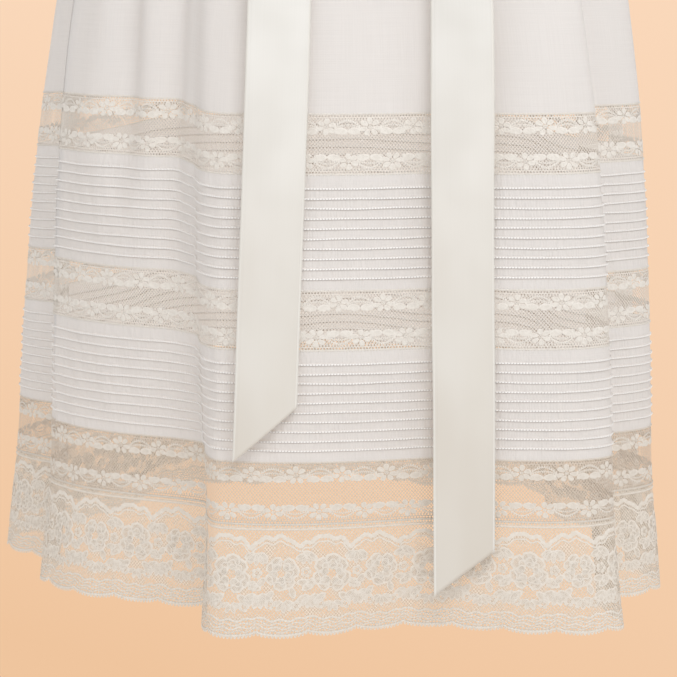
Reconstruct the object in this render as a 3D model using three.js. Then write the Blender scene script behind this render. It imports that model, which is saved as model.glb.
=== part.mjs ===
// Christening gown as worn, hollow, in millimetres. +Z is up, the front faces -Y, and the origin lies
// between the shoulders.
// Every piece of cloth is a thin wall on a grid of points: rows run down the cloth, columns run right as
// seen from outside it.
import * as THREE from "three";

// Cloth
const CLOTH_WALL = 1.2;
const RIBBON_WALL = 1.0;
const BAND_WALL = 1.4;
const SEAM_GAP = 0.3;
const LYING_GAP = 0.5;

// Bodice
const SHOULDER_NECK_X = 43;
const SHOULDER_TIP_X = 74;
const SHOULDER_SLOPE_DROP = 12;
const SHOULDER_ROUNDING = 80;
const SHOULDER_FULLNESS = 0.7;
const NECK_DROP_FRONT = 40;
const NECK_DROP_BACK = 14;
const NECK_SOFTNESS = 0.12;
const ARMHOLE_BOTTOM_Z = -86;
const ARMHOLE_SCOOP = 8;
const TORSO_HALF_WIDTH = 84;
const TORSO_HALF_DEPTH = 68;
const WAIST_Z = -140;
const NECK_COLUMNS = 5;
const SHOULDER_COLUMNS = 2;
const HALF_BODICE_COLUMNS = NECK_COLUMNS + SHOULDER_COLUMNS;
const ARMHOLE_ROWS = 8;
const SIDE_SEAM_ROWS = 3;
const BODICE_ROWS = ARMHOLE_ROWS + SIDE_SEAM_ROWS;
const NECK_BINDING_WIDTH = 6;
const NECK_BINDING_COLUMNS = 4 * NECK_COLUMNS;

// Sleeves
const SLEEVE_ANGLE = THREE.MathUtils.degToRad(38);
const SLEEVE_END_X = 126;
const SLEEVE_END_Z = -84;
const SLEEVE_END_RADIUS = 33;
const SLEEVE_PUFF = 11;
const SLEEVE_ROWS = 4;
const SLEEVE_COLUMNS = 2 * ARMHOLE_ROWS;
const SLEEVE_SEAM_SHARE = 0.012;
const CUFF_WIDTH = 9;
const CUFF_TAPER = 1.5;

// Back fastening
const PLACKET_WIDTH = 16;
const PLACKET_FIRST_ROW = 1;
const PLACKET_LAST_ROW = 7;
const BUTTON_HEIGHTS = [-36, -61, -86];
const BUTTON_RADIUS = 4.5;
const BUTTON_THICKNESS = 2.2;
const BUTTON_SIDES = 12;

// Skirt outline at heights below the waist seam
const SKIRT_SECTIONS = [
  { drop: 0, halfWidth: 84, halfDepth: 68 },
  { drop: 22, halfWidth: 104, halfDepth: 90 },
  { drop: 60, halfWidth: 130, halfDepth: 120 },
  { drop: 120, halfWidth: 155, halfDepth: 148 },
  { drop: 200, halfWidth: 175, halfDepth: 171 },
  { drop: 331, halfWidth: 196, halfDepth: 194 },
  { drop: 470, halfWidth: 207, halfDepth: 206 },
  { drop: 582, halfWidth: 212, halfDepth: 211 },
  { drop: 656, halfWidth: 220, halfDepth: 219 },
];
const HEM_DROP = SKIRT_SECTIONS.at(-1).drop;

// Folds round the skirt: degrees from the front centre, positive to the left of the wearer, millimetres out
// from the outline at the hem, and how late the fold grows on its way down (0 from the waist on, high only
// near the hem)
const SKIRT_FOLDS = [
  { at: -105, reach: 24, late: 0.7 },
  { at: -89, reach: -24, late: 0.5 },
  { at: -76, reach: -6, late: 0.3 },
  { at: -36, reach: -48, late: 1.5 },
  { at: -24.5, reach: 11, late: 1 },
  { at: 9, reach: -22, late: 10 },
  { at: 36, reach: 49, late: 0.1 },
  { at: 48, reach: -4, late: 0.3 },
  { at: 62, reach: 15, late: -0.4 },
  { at: 80, reach: -18, late: 0.5 },
  { at: 98, reach: 8, late: 0.5 },
  { at: 116, reach: -26, late: 1 },
  { at: 137, reach: 10, late: 0.5 },
  { at: 155, reach: -24, late: 1 },
  { at: 174, reach: 12, late: 0.5 },
  { at: 192, reach: -20, late: 1 },
  { at: 208, reach: 9, late: 0.5 },
  { at: 229, reach: -27, late: 1 },
];
const WAIST_GATHER = 100;
const BACK_RISE = 13;
const SIDE_RISE = 6;
const SKIRT_FRONT_COLUMNS = 40;
const SKIRT_BACK_COLUMNS = 30;
const ARC_SAMPLES = 720;
const HALF_TURN = 180;

// Skirt tiers from the waist seam down to the hem
const SKIRT_TIERS = [
  { name: "skirt_top", height: 331, rows: 5, cloth: "batiste" },
  { name: "lace_band_upper", height: 37, rows: 1, cloth: "lace" },
  { name: "tuck_panel_upper", height: 71.5, rows: 1, cloth: "batiste" },
  { name: "lace_band_middle", height: 37, rows: 1, cloth: "lace" },
  { name: "tuck_panel_lower", height: 70, rows: 1, cloth: "batiste" },
  { name: "lace_band_lower", height: 39, rows: 1, cloth: "lace" },
  { name: "lace_edging", height: 70.5, rows: 2, cloth: "lace" },
];
const SCALLOP_DEPTH = 5;

// Ribbon sash and bow
const RIBBON_WIDTH = 39;
const SASH_BOTTOM_Z = WAIST_Z + 1;
const SASH_COLUMNS = 36;
const KNOT_Z = SASH_BOTTOM_Z + RIBBON_WIDTH / 2;
const KNOT_HALF_HEIGHT = 15;
const KNOT_HALF_DEPTH = 8;
const KNOT_WIDTH = 24;
const KNOT_SIDES = 14;
const LOOP_LENGTH = 78;
const LOOP_DROOP = 26;
const LOOP_HALF_DEPTH = 13;
const LOOP_PINCH = 0.53;
const LOOP_ROWS = 2;
const LOOP_STEPS = 16;
const LOOP_MOUTH = 2.4;
const TAIL_STEPS = 18;
const TAIL_COLUMNS = 2;
const TAIL_CLEARANCE = 1.6;
const TAIL_REACH_OVER = 4;
const TAILS = [
  { name: "ribbon_tail_right", side: -1, spread: 53, endSpread: 64, innerEnd: 511, outerEnd: 545 },
  { name: "ribbon_tail_left", side: 1, spread: 58, endSpread: 60, innerEnd: 631, outerEnd: 604 },
];
const TAIL_SPREAD_DROP = 260;
const TAIL_TOP_SPREAD = 10;
const TAIL_TOP_WIDTH_SHARE = 0.45;
const TAIL_FULL_WIDTH_DROP = 90;

const finish = (color, roughness) => new THREE.MeshStandardMaterial({ color, roughness, metalness: 0 });
const MATERIALS = {
  batiste: finish(0xf3f1f0, 0.85),
  lace: finish(0xf0ebe2, 0.8),
  ribbon: finish(0xf1eee4, 0.35),
  button: finish(0xf4f1ea, 0.25),
};

const vector = (x, y, z) => new THREE.Vector3(x, y, z);
const lerp = THREE.MathUtils.lerp;
const radians = THREE.MathUtils.degToRad;
const smooth = (share) => share * share * (3 - 2 * share);
const count = (n) => Array.from({ length: n }, (_, i) => i);

// Keeps a point half a seam gap off the planes x = 0 or y = 0 that its piece stops at, on the signed side
function offSeam(point, sides) {
  for (const [axis, sign] of Object.entries(sides)) {
    point[axis] = sign * Math.max(sign * point[axis], SEAM_GAP / 2);
  }
  return point;
}

// A closed solid on a grid of outside points, thickened inwards. A closed grid joins its last column to its
// first.
function wall(rows, thickness, { closed = false, sides = {} } = {}) {
  const rowCount = rows.length;
  const columnCount = rows[0].length;
  const wrapped = (j) => (j + columnCount) % columnCount;
  const stopped = (j) => THREE.MathUtils.clamp(j, 0, columnCount - 1);
  const column = closed ? wrapped : stopped;
  const row = (i) => THREE.MathUtils.clamp(i, 0, rowCount - 1);
  const at = (i, j) => rows[row(i)][column(j)];
  const outer = rows.flat().map((point) => offSeam(point, sides));
  const inner = outer.map((point, index) => {
    const i = Math.floor(index / columnCount);
    const j = index % columnCount;
    const down = at(i + 1, j).clone().sub(at(i - 1, j));
    const right = at(i, j + 1).clone().sub(at(i, j - 1));
    const inside = point.clone().addScaledVector(down.cross(right).normalize(), -thickness);
    return offSeam(inside, sides);
  });
  const faces = [];
  const quad = (a, b, c, d) => faces.push(a, b, c, a, c, d);
  const out = (i, j) => i * columnCount + column(j);
  const inn = (i, j) => outer.length + out(i, j);
  const lastRow = rowCount - 1;
  const steps = closed ? columnCount : columnCount - 1;
  for (const i of count(lastRow)) {
    for (const j of count(steps)) {
      quad(out(i, j), out(i + 1, j), out(i + 1, j + 1), out(i, j + 1));
      quad(inn(i, j), inn(i, j + 1), inn(i + 1, j + 1), inn(i + 1, j));
    }
    if (!closed) {
      quad(out(i + 1, 0), out(i, 0), inn(i, 0), inn(i + 1, 0));
      quad(out(i, steps), out(i + 1, steps), inn(i + 1, steps), inn(i, steps));
    }
  }
  for (const j of count(steps)) {
    quad(out(0, j), out(0, j + 1), inn(0, j + 1), inn(0, j));
    quad(out(lastRow, j + 1), out(lastRow, j), inn(lastRow, j), inn(lastRow, j + 1));
  }
  const geometry = new THREE.BufferGeometry();
  geometry.setFromPoints([...outer, ...inner]);
  geometry.setIndex(faces);
  geometry.computeVertexNormals();
  return geometry;
}

function piece(name, geometry, cloth) {
  const mesh = new THREE.Mesh(geometry, MATERIALS[cloth]);
  mesh.name = name;
  return mesh;
}

// Height of the shoulder line, and how far the torso reaches forward or back of it
function shoulderLine(x) {
  const along = (Math.abs(x) - SHOULDER_NECK_X) / (SHOULDER_TIP_X - SHOULDER_NECK_X);
  return -SHOULDER_SLOPE_DROP * Math.max(along, 0);
}

function torsoDepth(x, z) {
  const below = THREE.MathUtils.clamp((shoulderLine(x) - z) / SHOULDER_ROUNDING, 0, 1);
  const rounding = (1 - (1 - below) ** 2) ** SHOULDER_FULLNESS;
  const side = Math.min(Math.abs(x) / TORSO_HALF_WIDTH, 1);
  return TORSO_HALF_DEPTH * rounding * Math.sqrt(1 - side ** 2);
}

// The armhole's edge from the shoulder tip (0) down to the underarm (1)
function armholeEdge(share) {
  const scoop = ARMHOLE_SCOOP * Math.sin(Math.PI * share);
  const x = lerp(SHOULDER_TIP_X, TORSO_HALF_WIDTH, share ** 2) - scoop;
  return { x, z: lerp(-SHOULDER_SLOPE_DROP, ARMHOLE_BOTTOM_Z, share) };
}

// How far the neck edge has fallen, as a share, when it turns in from the shoulder, where it starts softly
function neckFall(turnedIn) {
  const fallen = (share) => Math.hypot(share, NECK_SOFTNESS) - NECK_SOFTNESS;
  return fallen(turnedIn) / fallen(1);
}

// The top edge of a bodice panel, from its middle (0) along the neck and the shoulder to the shoulder tip (1)
function bodiceTopEdge(share, neckDrop) {
  const neckShare = NECK_COLUMNS / HALF_BODICE_COLUMNS;
  if (share <= neckShare) {
    const angle = (Math.PI / 2) * (share / neckShare);
    return { x: SHOULDER_NECK_X * Math.sin(angle), z: -neckDrop * neckFall(Math.cos(angle)) };
  }
  const x = lerp(SHOULDER_NECK_X, SHOULDER_TIP_X, (share - neckShare) / (1 - neckShare));
  return { x, z: shoulderLine(x) };
}

// The outer edge of a bodice panel, from the shoulder tip (0) down the armhole and side seam to the waist (1)
function bodiceOuterEdge(share) {
  const armholeShare = ARMHOLE_ROWS / BODICE_ROWS;
  if (share <= armholeShare) return armholeEdge(share / armholeShare);
  const z = lerp(ARMHOLE_BOTTOM_Z, WAIST_Z, (share - armholeShare) / (1 - armholeShare));
  return { x: TORSO_HALF_WIDTH, z };
}

// A point of a bodice panel, blended from its four edges: share across from the middle, share down from top
function bodicePoint(across, down, neckDrop, key) {
  const top = bodiceTopEdge(across, neckDrop);
  const outer = bodiceOuterEdge(down);
  const waist = { x: TORSO_HALF_WIDTH * Math.sin((Math.PI / 2) * across), z: WAIST_Z };
  const middle = { x: 0, z: lerp(-neckDrop, WAIST_Z, down) };
  const topCorners = lerp(bodiceTopEdge(0, neckDrop)[key], bodiceTopEdge(1, neckDrop)[key], across);
  const waistCorners = lerp(0, TORSO_HALF_WIDTH, across);
  const corners = lerp(topCorners, key === "x" ? waistCorners : WAIST_Z, down);
  return lerp(top[key], waist[key], down) + lerp(middle[key], outer[key], across) - corners;
}

// A bodice panel between two shares of the half round, -1 at the right side seam to 1 at the left
function bodicePanel(sides, from, to, columnCount, neckDrop) {
  const rows = count(BODICE_ROWS + 1).map((i) =>
    count(columnCount + 1).map((j) => {
      const share = lerp(from, to, j / columnCount);
      const x = bodicePoint(Math.abs(share), i / BODICE_ROWS, neckDrop, "x");
      const z = bodicePoint(Math.abs(share), i / BODICE_ROWS, neckDrop, "z");
      return vector(Math.sign(share) * x, sides.y * torsoDepth(x, z), z);
    }),
  );
  return wall(rows, CLOTH_WALL, { sides });
}

function addBodice(gown) {
  const front = bodicePanel({ y: -1 }, -1, 1, 2 * HALF_BODICE_COLUMNS, NECK_DROP_FRONT);
  const backLeft = bodicePanel({ x: 1, y: 1 }, 1, 0, HALF_BODICE_COLUMNS, NECK_DROP_BACK);
  const backRight = bodicePanel({ x: -1, y: 1 }, 0, -1, HALF_BODICE_COLUMNS, NECK_DROP_BACK);
  gown.add(
    piece("bodice_front", front, "batiste"),
    piece("bodice_back_left", backLeft, "batiste"),
    piece("bodice_back_right", backRight, "batiste"),
  );
}

// A narrow binding that stands on the neck edge all round
function addNeckBinding(gown) {
  const neckPoint = (turn, rise) => {
    const front = Math.cos(turn) > 0;
    const drop = front ? NECK_DROP_FRONT : NECK_DROP_BACK;
    const x = SHOULDER_NECK_X * Math.sin(turn);
    const z = -drop * neckFall(Math.cos(turn));
    const y = (front ? -1 : 1) * torsoDepth(x, z);
    const inward = 1 - (0.35 * rise) / SHOULDER_NECK_X;
    return vector(x * inward, y * inward, z + rise);
  };
  const rises = [SEAM_GAP + NECK_BINDING_WIDTH, SEAM_GAP + LYING_GAP];
  const rows = rises.map((rise) =>
    count(NECK_BINDING_COLUMNS).map((j) => neckPoint((2 * Math.PI * j) / NECK_BINDING_COLUMNS, rise)),
  );
  gown.add(piece("neck_binding", wall(rows, BAND_WALL, { closed: true }), "batiste"));
}

// A sleeve's ring point: share 0 on the armhole, 1 at the cuff. The turn runs from the shoulder to the front.
function sleevePoint(side, share, turn) {
  const armShare = turn <= Math.PI ? turn / Math.PI : 2 - turn / Math.PI;
  const facing = turn <= Math.PI ? -1 : 1;
  const edge = armholeEdge(armShare);
  const start = vector(edge.x, facing * torsoDepth(edge.x, edge.z), edge.z);
  const up = vector(Math.sin(SLEEVE_ANGLE), 0, Math.cos(SLEEVE_ANGLE));
  const across = up.clone().multiplyScalar(Math.cos(turn)).add(vector(0, -Math.sin(turn), 0));
  const end = vector(SLEEVE_END_X, 0, SLEEVE_END_Z).addScaledVector(across, SLEEVE_END_RADIUS);
  const puff = SLEEVE_PUFF * Math.sin(Math.PI * share) * (0.6 + 0.4 * Math.cos(turn));
  const point = start.lerp(end, share).addScaledVector(across, puff);
  point.x *= side;
  return point;
}

function cuffPoint(side, along, turn) {
  const axis = vector(Math.cos(SLEEVE_ANGLE), 0, -Math.sin(SLEEVE_ANGLE));
  const up = vector(Math.sin(SLEEVE_ANGLE), 0, Math.cos(SLEEVE_ANGLE));
  const across = up.multiplyScalar(Math.cos(turn)).add(vector(0, -Math.sin(turn), 0));
  const radius = SLEEVE_END_RADIUS - CUFF_TAPER * (along / CUFF_WIDTH);
  const point = vector(SLEEVE_END_X, 0, SLEEVE_END_Z);
  point.addScaledVector(axis, along).addScaledVector(across, radius);
  point.x *= side;
  return point;
}

function addSleeves(gown) {
  for (const [name, side] of [["left", 1], ["right", -1]]) {
    const turns = count(SLEEVE_COLUMNS).map((j) => (side * 2 * Math.PI * j) / SLEEVE_COLUMNS);
    const wrapped = turns.map((turn) => THREE.MathUtils.euclideanModulo(-turn, 2 * Math.PI));
    const sleeveRows = count(SLEEVE_ROWS + 1).map((i) =>
      wrapped.map((turn) => sleevePoint(side, lerp(SLEEVE_SEAM_SHARE, 1, i / SLEEVE_ROWS), turn)),
    );
    const cuffRow = (along) => wrapped.map((turn) => cuffPoint(side, along, turn));
    const cuffRows = [SEAM_GAP, CUFF_WIDTH].map(cuffRow);
    gown.add(
      piece(`sleeve_${name}`, wall(sleeveRows, CLOTH_WALL, { closed: true }), "batiste"),
      piece(`cuff_${name}`, wall(cuffRows, BAND_WALL, { closed: true }), "batiste"),
    );
  }
}

// A point over the back, moved out from it by a lift, and the tilt of the back there
function backTilt(z) {
  return Math.atan(torsoDepth(0, z - 1) - torsoDepth(0, z));
}

function backPoint(x, z, lift) {
  const tilt = backTilt(z);
  return vector(x, torsoDepth(x, z) + lift * Math.cos(tilt), z + lift * Math.sin(tilt));
}

// A strip over the centre back edges, with buttons on it
function addBackFastening(gown) {
  const lift = LYING_GAP + BAND_WALL;
  const panelHeights = count(BODICE_ROWS).map((i) => lerp(-NECK_DROP_BACK, WAIST_Z, i / BODICE_ROWS));
  const crossed = panelHeights.slice(PLACKET_FIRST_ROW, PLACKET_LAST_ROW + 1);
  const edges = [PLACKET_WIDTH / 2, 0, -PLACKET_WIDTH / 2];
  const rows = crossed.map((z) => edges.map((x) => backPoint(x, z, lift)));
  gown.add(piece("back_placket", wall(rows, BAND_WALL), "batiste"));
  const rim = BUTTON_THICKNESS / 2;
  const profile = [
    new THREE.Vector2(0, 0),
    new THREE.Vector2(BUTTON_RADIUS - rim / 2, 0),
    new THREE.Vector2(BUTTON_RADIUS, rim),
    new THREE.Vector2(BUTTON_RADIUS - rim / 2, BUTTON_THICKNESS),
    new THREE.Vector2(0, BUTTON_THICKNESS),
  ];
  BUTTON_HEIGHTS.forEach((z, index) => {
    const button = piece(`button_${index + 1}`, new THREE.LatheGeometry(profile, BUTTON_SIDES), "button");
    button.rotation.x = backTilt(z);
    button.position.copy(backPoint(0, z, lift + LYING_GAP));
    gown.add(button);
  });
}

// The skirt's outline and folds
function skirtSection(drop) {
  const last = SKIRT_SECTIONS.length - 2;
  const found = SKIRT_SECTIONS.findIndex((section, i) => i <= last && drop <= SKIRT_SECTIONS[i + 1].drop);
  const index = found < 0 ? last : found;
  const slope = (i, key) => {
    const before = SKIRT_SECTIONS[Math.max(i - 1, 0)];
    const after = SKIRT_SECTIONS[Math.min(i + 1, last + 1)];
    return (after[key] - before[key]) / (after.drop - before.drop);
  };
  const above = SKIRT_SECTIONS[index];
  const below = SKIRT_SECTIONS[index + 1];
  const span = below.drop - above.drop;
  const t = (drop - above.drop) / span;
  const between = (key) =>
    (2 * t ** 3 - 3 * t ** 2 + 1) * above[key] +
    (t ** 3 - 2 * t ** 2 + t) * span * slope(index, key) +
    (3 * t ** 2 - 2 * t ** 3) * below[key] +
    (t ** 3 - t ** 2) * span * slope(index + 1, key);
  return { halfWidth: between("halfWidth"), halfDepth: between("halfDepth") };
}

function foldReach(degrees, drop) {
  const first = SKIRT_FOLDS[0].at;
  const turned = first + THREE.MathUtils.euclideanModulo(degrees - first, 2 * HALF_TURN);
  const index = SKIRT_FOLDS.findLastIndex((fold) => fold.at <= turned);
  const here = SKIRT_FOLDS[index];
  const next = SKIRT_FOLDS[index + 1] ?? { ...SKIRT_FOLDS[0], at: SKIRT_FOLDS[0].at + 2 * HALF_TURN };
  const grown = ({ reach, late }) => reach * (1 - Math.exp(-drop / WAIST_GATHER)) * (drop / HEM_DROP) ** late;
  return lerp(grown(here), grown(next), smooth((turned - here.at) / (next.at - here.at)));
}

// How much higher the cloth hangs at the back and, half way down, on the right side
function skirtRise(degrees, drop) {
  const turn = THREE.MathUtils.euclideanModulo(degrees + HALF_TURN, 2 * HALF_TURN) - HALF_TURN;
  const eased = THREE.MathUtils.smoothstep;
  const back = BACK_RISE * eased(Math.abs(turn), 100, 140) * eased(drop, 0, 450);
  const side = SIDE_RISE * eased(turn, -110, -80) * eased(-turn, 25, 45);
  return back + side * eased(drop, 0, 300) * (1 - eased(drop, 360, 650));
}

function skirtPoint(degrees, drop) {
  const { halfWidth, halfDepth } = skirtSection(drop);
  const angle = radians(degrees);
  const outline = 1 / Math.hypot(Math.sin(angle) / halfWidth, Math.cos(angle) / halfDepth);
  const radius = outline + (drop > 0 ? foldReach(degrees, drop) : 0);
  const height = WAIST_Z - drop + skirtRise(degrees, drop);
  return vector(radius * Math.sin(angle), -radius * Math.cos(angle), height);
}

// Angles that share the cloth's length at the hem evenly between two side seams
function evenAngles(from, to, steps) {
  const angles = count(ARC_SAMPLES + 1).map((i) => lerp(from, to, i / ARC_SAMPLES));
  const lengths = [0];
  for (const i of count(ARC_SAMPLES)) {
    const step = skirtPoint(angles[i + 1], HEM_DROP).distanceTo(skirtPoint(angles[i], HEM_DROP));
    lengths.push(lengths[i] + step);
  }
  return count(steps + 1).map((k) => {
    const wanted = (lengths.at(-1) * k) / steps;
    const i = Math.min(lengths.findLastIndex((length) => length <= wanted + 1e-9), ARC_SAMPLES - 1);
    return lerp(angles[i], angles[i + 1], (wanted - lengths[i]) / (lengths[i + 1] - lengths[i]));
  });
}

function addSkirt(gown) {
  const quarter = HALF_TURN / 2;
  const halves = [
    { name: "front", from: -quarter, steps: SKIRT_FRONT_COLUMNS, sides: { y: -1 } },
    { name: "back", from: quarter, steps: SKIRT_BACK_COLUMNS, sides: { y: 1 } },
  ];
  for (const half of halves) {
    const angles = evenAngles(half.from, half.from + HALF_TURN, half.steps);
    let tierTop = 0;
    for (const tier of SKIRT_TIERS) {
      const isHem = tier === SKIRT_TIERS.at(-1);
      const rows = count(tier.rows + 1).map((i) => {
        const share = i / tier.rows;
        const even = tier === SKIRT_TIERS[0] ? share ** 1.5 : share;
        const drop = tierTop + lerp(SEAM_GAP, tier.height, even);
        const atHem = isHem && i === tier.rows;
        const raised = (j) => (atHem && j % 2 === 0 ? SCALLOP_DEPTH : 0);
        return angles.map((degrees, j) => skirtPoint(degrees, drop - raised(j)));
      });
      gown.add(piece(`${tier.name}_${half.name}`, wall(rows, CLOTH_WALL, { sides: half.sides }), tier.cloth));
      tierTop += tier.height;
    }
  }
}

// A ribbon round the waist, laid on the bodice
function addSash(gown) {
  const heights = [SASH_BOTTOM_Z + RIBBON_WIDTH, SASH_BOTTOM_Z + RIBBON_WIDTH / 2, SASH_BOTTOM_Z];
  const lift = RIBBON_WALL + LYING_GAP;
  const rows = heights.map((z) =>
    count(SASH_COLUMNS).map((j) => {
      const turn = (2 * Math.PI * j) / SASH_COLUMNS;
      const reach = vector((TORSO_HALF_WIDTH + lift) * Math.sin(turn), 0, z);
      return reach.setY(-(TORSO_HALF_DEPTH + lift) * Math.cos(turn));
    }),
  );
  gown.add(piece("sash", wall(rows, RIBBON_WALL, { closed: true }), "ribbon"));
}

const KNOT_Y = -(TORSO_HALF_DEPTH + RIBBON_WALL + 2 * LYING_GAP + KNOT_HALF_DEPTH);

// The ribbon wrapped round the middle of the bow
function addKnot(gown) {
  const widths = [-0.5, -0.2, 0.2, 0.5].map((share) => share * KNOT_WIDTH);
  const rows = widths.map((x) => {
    const waist = 1 - 0.12 * (1 - (2 * x) ** 2 / KNOT_WIDTH ** 2);
    return count(KNOT_SIDES).map((j) => {
      const turn = (2 * Math.PI * j) / KNOT_SIDES;
      const y = KNOT_Y - KNOT_HALF_DEPTH * Math.cos(turn);
      return vector(x, y, KNOT_Z + waist * KNOT_HALF_HEIGHT * Math.sin(turn));
    });
  });
  gown.add(piece("bow_knot", wall(rows, RIBBON_WALL, { closed: true }), "ribbon"));
}

// One loop of the bow: a band that leaves the knot in front, turns at its end and comes back behind
function addLoops(gown) {
  for (const [name, side] of [["left", 1], ["right", -1]]) {
    const rows = count(LOOP_ROWS + 1).map((i) =>
      count(LOOP_STEPS + 1).map((j) => {
        const turn = Math.PI * (j / LOOP_STEPS);
        const out = Math.sin(turn) ** 0.9;
        const reach = KNOT_WIDTH / 5 + (LOOP_LENGTH - KNOT_WIDTH / 5) * out;
        const depth = LOOP_MOUTH + (LOOP_HALF_DEPTH - LOOP_MOUTH) * Math.sin(turn) ** 1.5;
        const width = RIBBON_WIDTH * lerp(LOOP_PINCH, 1, Math.min(1.4 * out, 1));
        const z = KNOT_Z - LOOP_DROOP * out ** 2 + width * (0.5 - i / LOOP_ROWS);
        return vector(side * reach, KNOT_Y - depth * Math.cos(turn), z);
      }),
    );
    const outward = side > 0 ? rows : rows.map((row) => row.reverse());
    gown.add(piece(`bow_loop_${name}`, wall(outward, RIBBON_WALL), "ribbon"));
  }
}

// The frontmost point of the skirt across a stretch of its width
function skirtFront(fromX, toX, drop) {
  const angles = count(2 * HALF_TURN + 1).map((i) => i / 2 - HALF_TURN / 2);
  const inside = angles.map((degrees) => skirtPoint(degrees, drop)).filter(({ x }) => x >= fromX && x <= toX);
  return Math.min(...inside.map(({ y }) => y));
}

// A tail hangs from the knot over the skirt, flat across, and is cut on a slant
function addTails(gown) {
  const knotFoot = WAIST_Z - (KNOT_Z - KNOT_HALF_HEIGHT) + LYING_GAP;
  for (const tail of TAILS) {
    const start = knotFoot;
    const centre = (drop) => {
      const fanned = Math.sin((Math.PI / 2) * Math.min(Math.max(drop, 0) / TAIL_SPREAD_DROP, 1));
      const lower = Math.max(drop - TAIL_SPREAD_DROP, 0) / (tail.innerEnd - TAIL_SPREAD_DROP);
      return lerp(TAIL_TOP_SPREAD, tail.spread, fanned) + (tail.endSpread - tail.spread) * lower;
    };
    const halfWidth = (drop) => {
      const opened = smooth(Math.min(Math.max(drop - start, 0) / TAIL_FULL_WIDTH_DROP, 1));
      return (RIBBON_WIDTH / 2) * lerp(TAIL_TOP_WIDTH_SHARE, 1, opened);
    };
    const lying = (drop) => {
      const at = Math.max(drop, 0);
      const middle = tail.side * centre(at);
      const reach = halfWidth(at) + TAIL_REACH_OVER;
      return skirtFront(middle - reach, middle + reach, at) - TAIL_CLEARANCE - RIBBON_WALL;
    };
    const rows = count(TAIL_STEPS + 1).map((i) =>
      count(TAIL_COLUMNS + 1).map((j) => {
        const across = (2 * j) / TAIL_COLUMNS - 1;
        const end = lerp(tail.outerEnd, tail.innerEnd, (1 - tail.side * across) / 2);
        const drop = lerp(start, end, i / TAIL_STEPS);
        const x = tail.side * centre(drop) + across * halfWidth(drop);
        return vector(x, Math.min(lying(drop), KNOT_Y), WAIST_Z - drop);
      }),
    );
    gown.add(piece(tail.name, wall(rows, RIBBON_WALL), "ribbon"));
  }
}

const gown = new THREE.Group();
addBodice(gown);
addNeckBinding(gown);
addSleeves(gown);
addBackFastening(gown);
addSkirt(gown);
addSash(gown);
addKnot(gown);
addLoops(gown);
addTails(gown);

export default gown;
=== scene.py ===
"""The look of a white christening gown: tucked cotton, lace bands, a scalloped hem and satin ribbon.

All sizes are in metres. +Z is up, the front faces -Y and the wearer's left is +X.
"""

import bpy
import numpy as np
from bpy.props import FloatProperty, FloatVectorProperty, IntProperty, PointerProperty
from mathutils import Euler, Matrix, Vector


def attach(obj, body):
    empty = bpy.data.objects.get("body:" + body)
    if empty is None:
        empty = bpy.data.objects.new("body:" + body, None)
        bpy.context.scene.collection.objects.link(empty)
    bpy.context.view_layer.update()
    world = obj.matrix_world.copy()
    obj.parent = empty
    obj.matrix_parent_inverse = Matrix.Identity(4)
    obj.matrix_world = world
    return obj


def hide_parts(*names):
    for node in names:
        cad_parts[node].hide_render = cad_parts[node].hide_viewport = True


bl_info = {
    "name": "Christening gown",
    "version": (1, 0, 0),
    "blender": (4, 5, 0),
    "location": "3D View > Sidebar > Gown",
    "description": "Makes the cloth, lace and ribbon of a christening gown on its packed frame",
    "category": "Object",
}

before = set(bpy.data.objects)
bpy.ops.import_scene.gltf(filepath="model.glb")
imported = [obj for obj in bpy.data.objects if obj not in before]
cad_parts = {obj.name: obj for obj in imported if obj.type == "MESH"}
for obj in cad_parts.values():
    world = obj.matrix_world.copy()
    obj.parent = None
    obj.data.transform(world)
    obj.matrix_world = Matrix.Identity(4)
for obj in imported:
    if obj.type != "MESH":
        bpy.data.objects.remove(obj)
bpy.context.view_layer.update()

# Bodice
SHOULDER_NECK_X = 0.043
SHOULDER_TIP_X = 0.074
SHOULDER_DROP = 0.012
SHOULDER_ROUNDING = 0.080
SHOULDER_FULLNESS = 0.7
NECK_DROPS = {"front": 0.040, "back": 0.014}
NECK_SHARE = 5 / 7
NECK_SOFTNESS = 0.12
SHOULDER_SOFTNESS = 0.35
ARMHOLE_SHARE = 8 / 11
ARMHOLE_BOTTOM_Z = -0.086
ARMHOLE_SCOOP = 0.008
TORSO_HALF_WIDTH = 0.084
TORSO_HALF_DEPTH = 0.068
WAIST_Z = -0.140
BODICE_ROWS = 51
BODICE_FLAT_FACTOR = 1.4

# Sleeves
SLEEVE_ANGLE = np.radians(38.0)
SLEEVE_END_X = 0.126
SLEEVE_END_Z = -0.084
SLEEVE_END_RADIUS = 0.033
SLEEVE_PUFF = 0.011
CUFF_WIDTH = 0.009
CUFF_TAPER = 0.0015
SLEEVE_TURNS = 193
SLEEVE_ROWS = 29
SLEEVE_FLAT_RADIUS = 0.036
SLEEVE_FLAT_LENGTH = 0.055

# Folded strips in section: distance past the edge of the cloth, distance out from it
NECK_PROFILE = (
    (-0.0010, -0.0016), (0.0010, -0.0017), (0.0036, -0.0017), (0.0058, -0.0014), (0.0063, -0.0005),
    (0.0058, 0.0004), (0.0045, 0.0009), (0.0028, 0.0011), (0.0010, 0.0011), (-0.0004, 0.0011),
    (-0.0013, 0.0009), (-0.0015, 0.0004),
)
CUFF_PROFILE = (
    (0.0003, -0.0006), (0.0006, 0.0004), (0.0020, 0.0009), (0.0070, 0.0009), (0.0086, 0.0004),
    (0.0090, -0.0005), (0.0084, -0.0013), (0.0030, -0.0014),
)
NECK_TURNS = 145
NECK_STITCH = (0.0008, 0.0011)
CUFF_STITCH = (0.0017, 0.0010)

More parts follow.
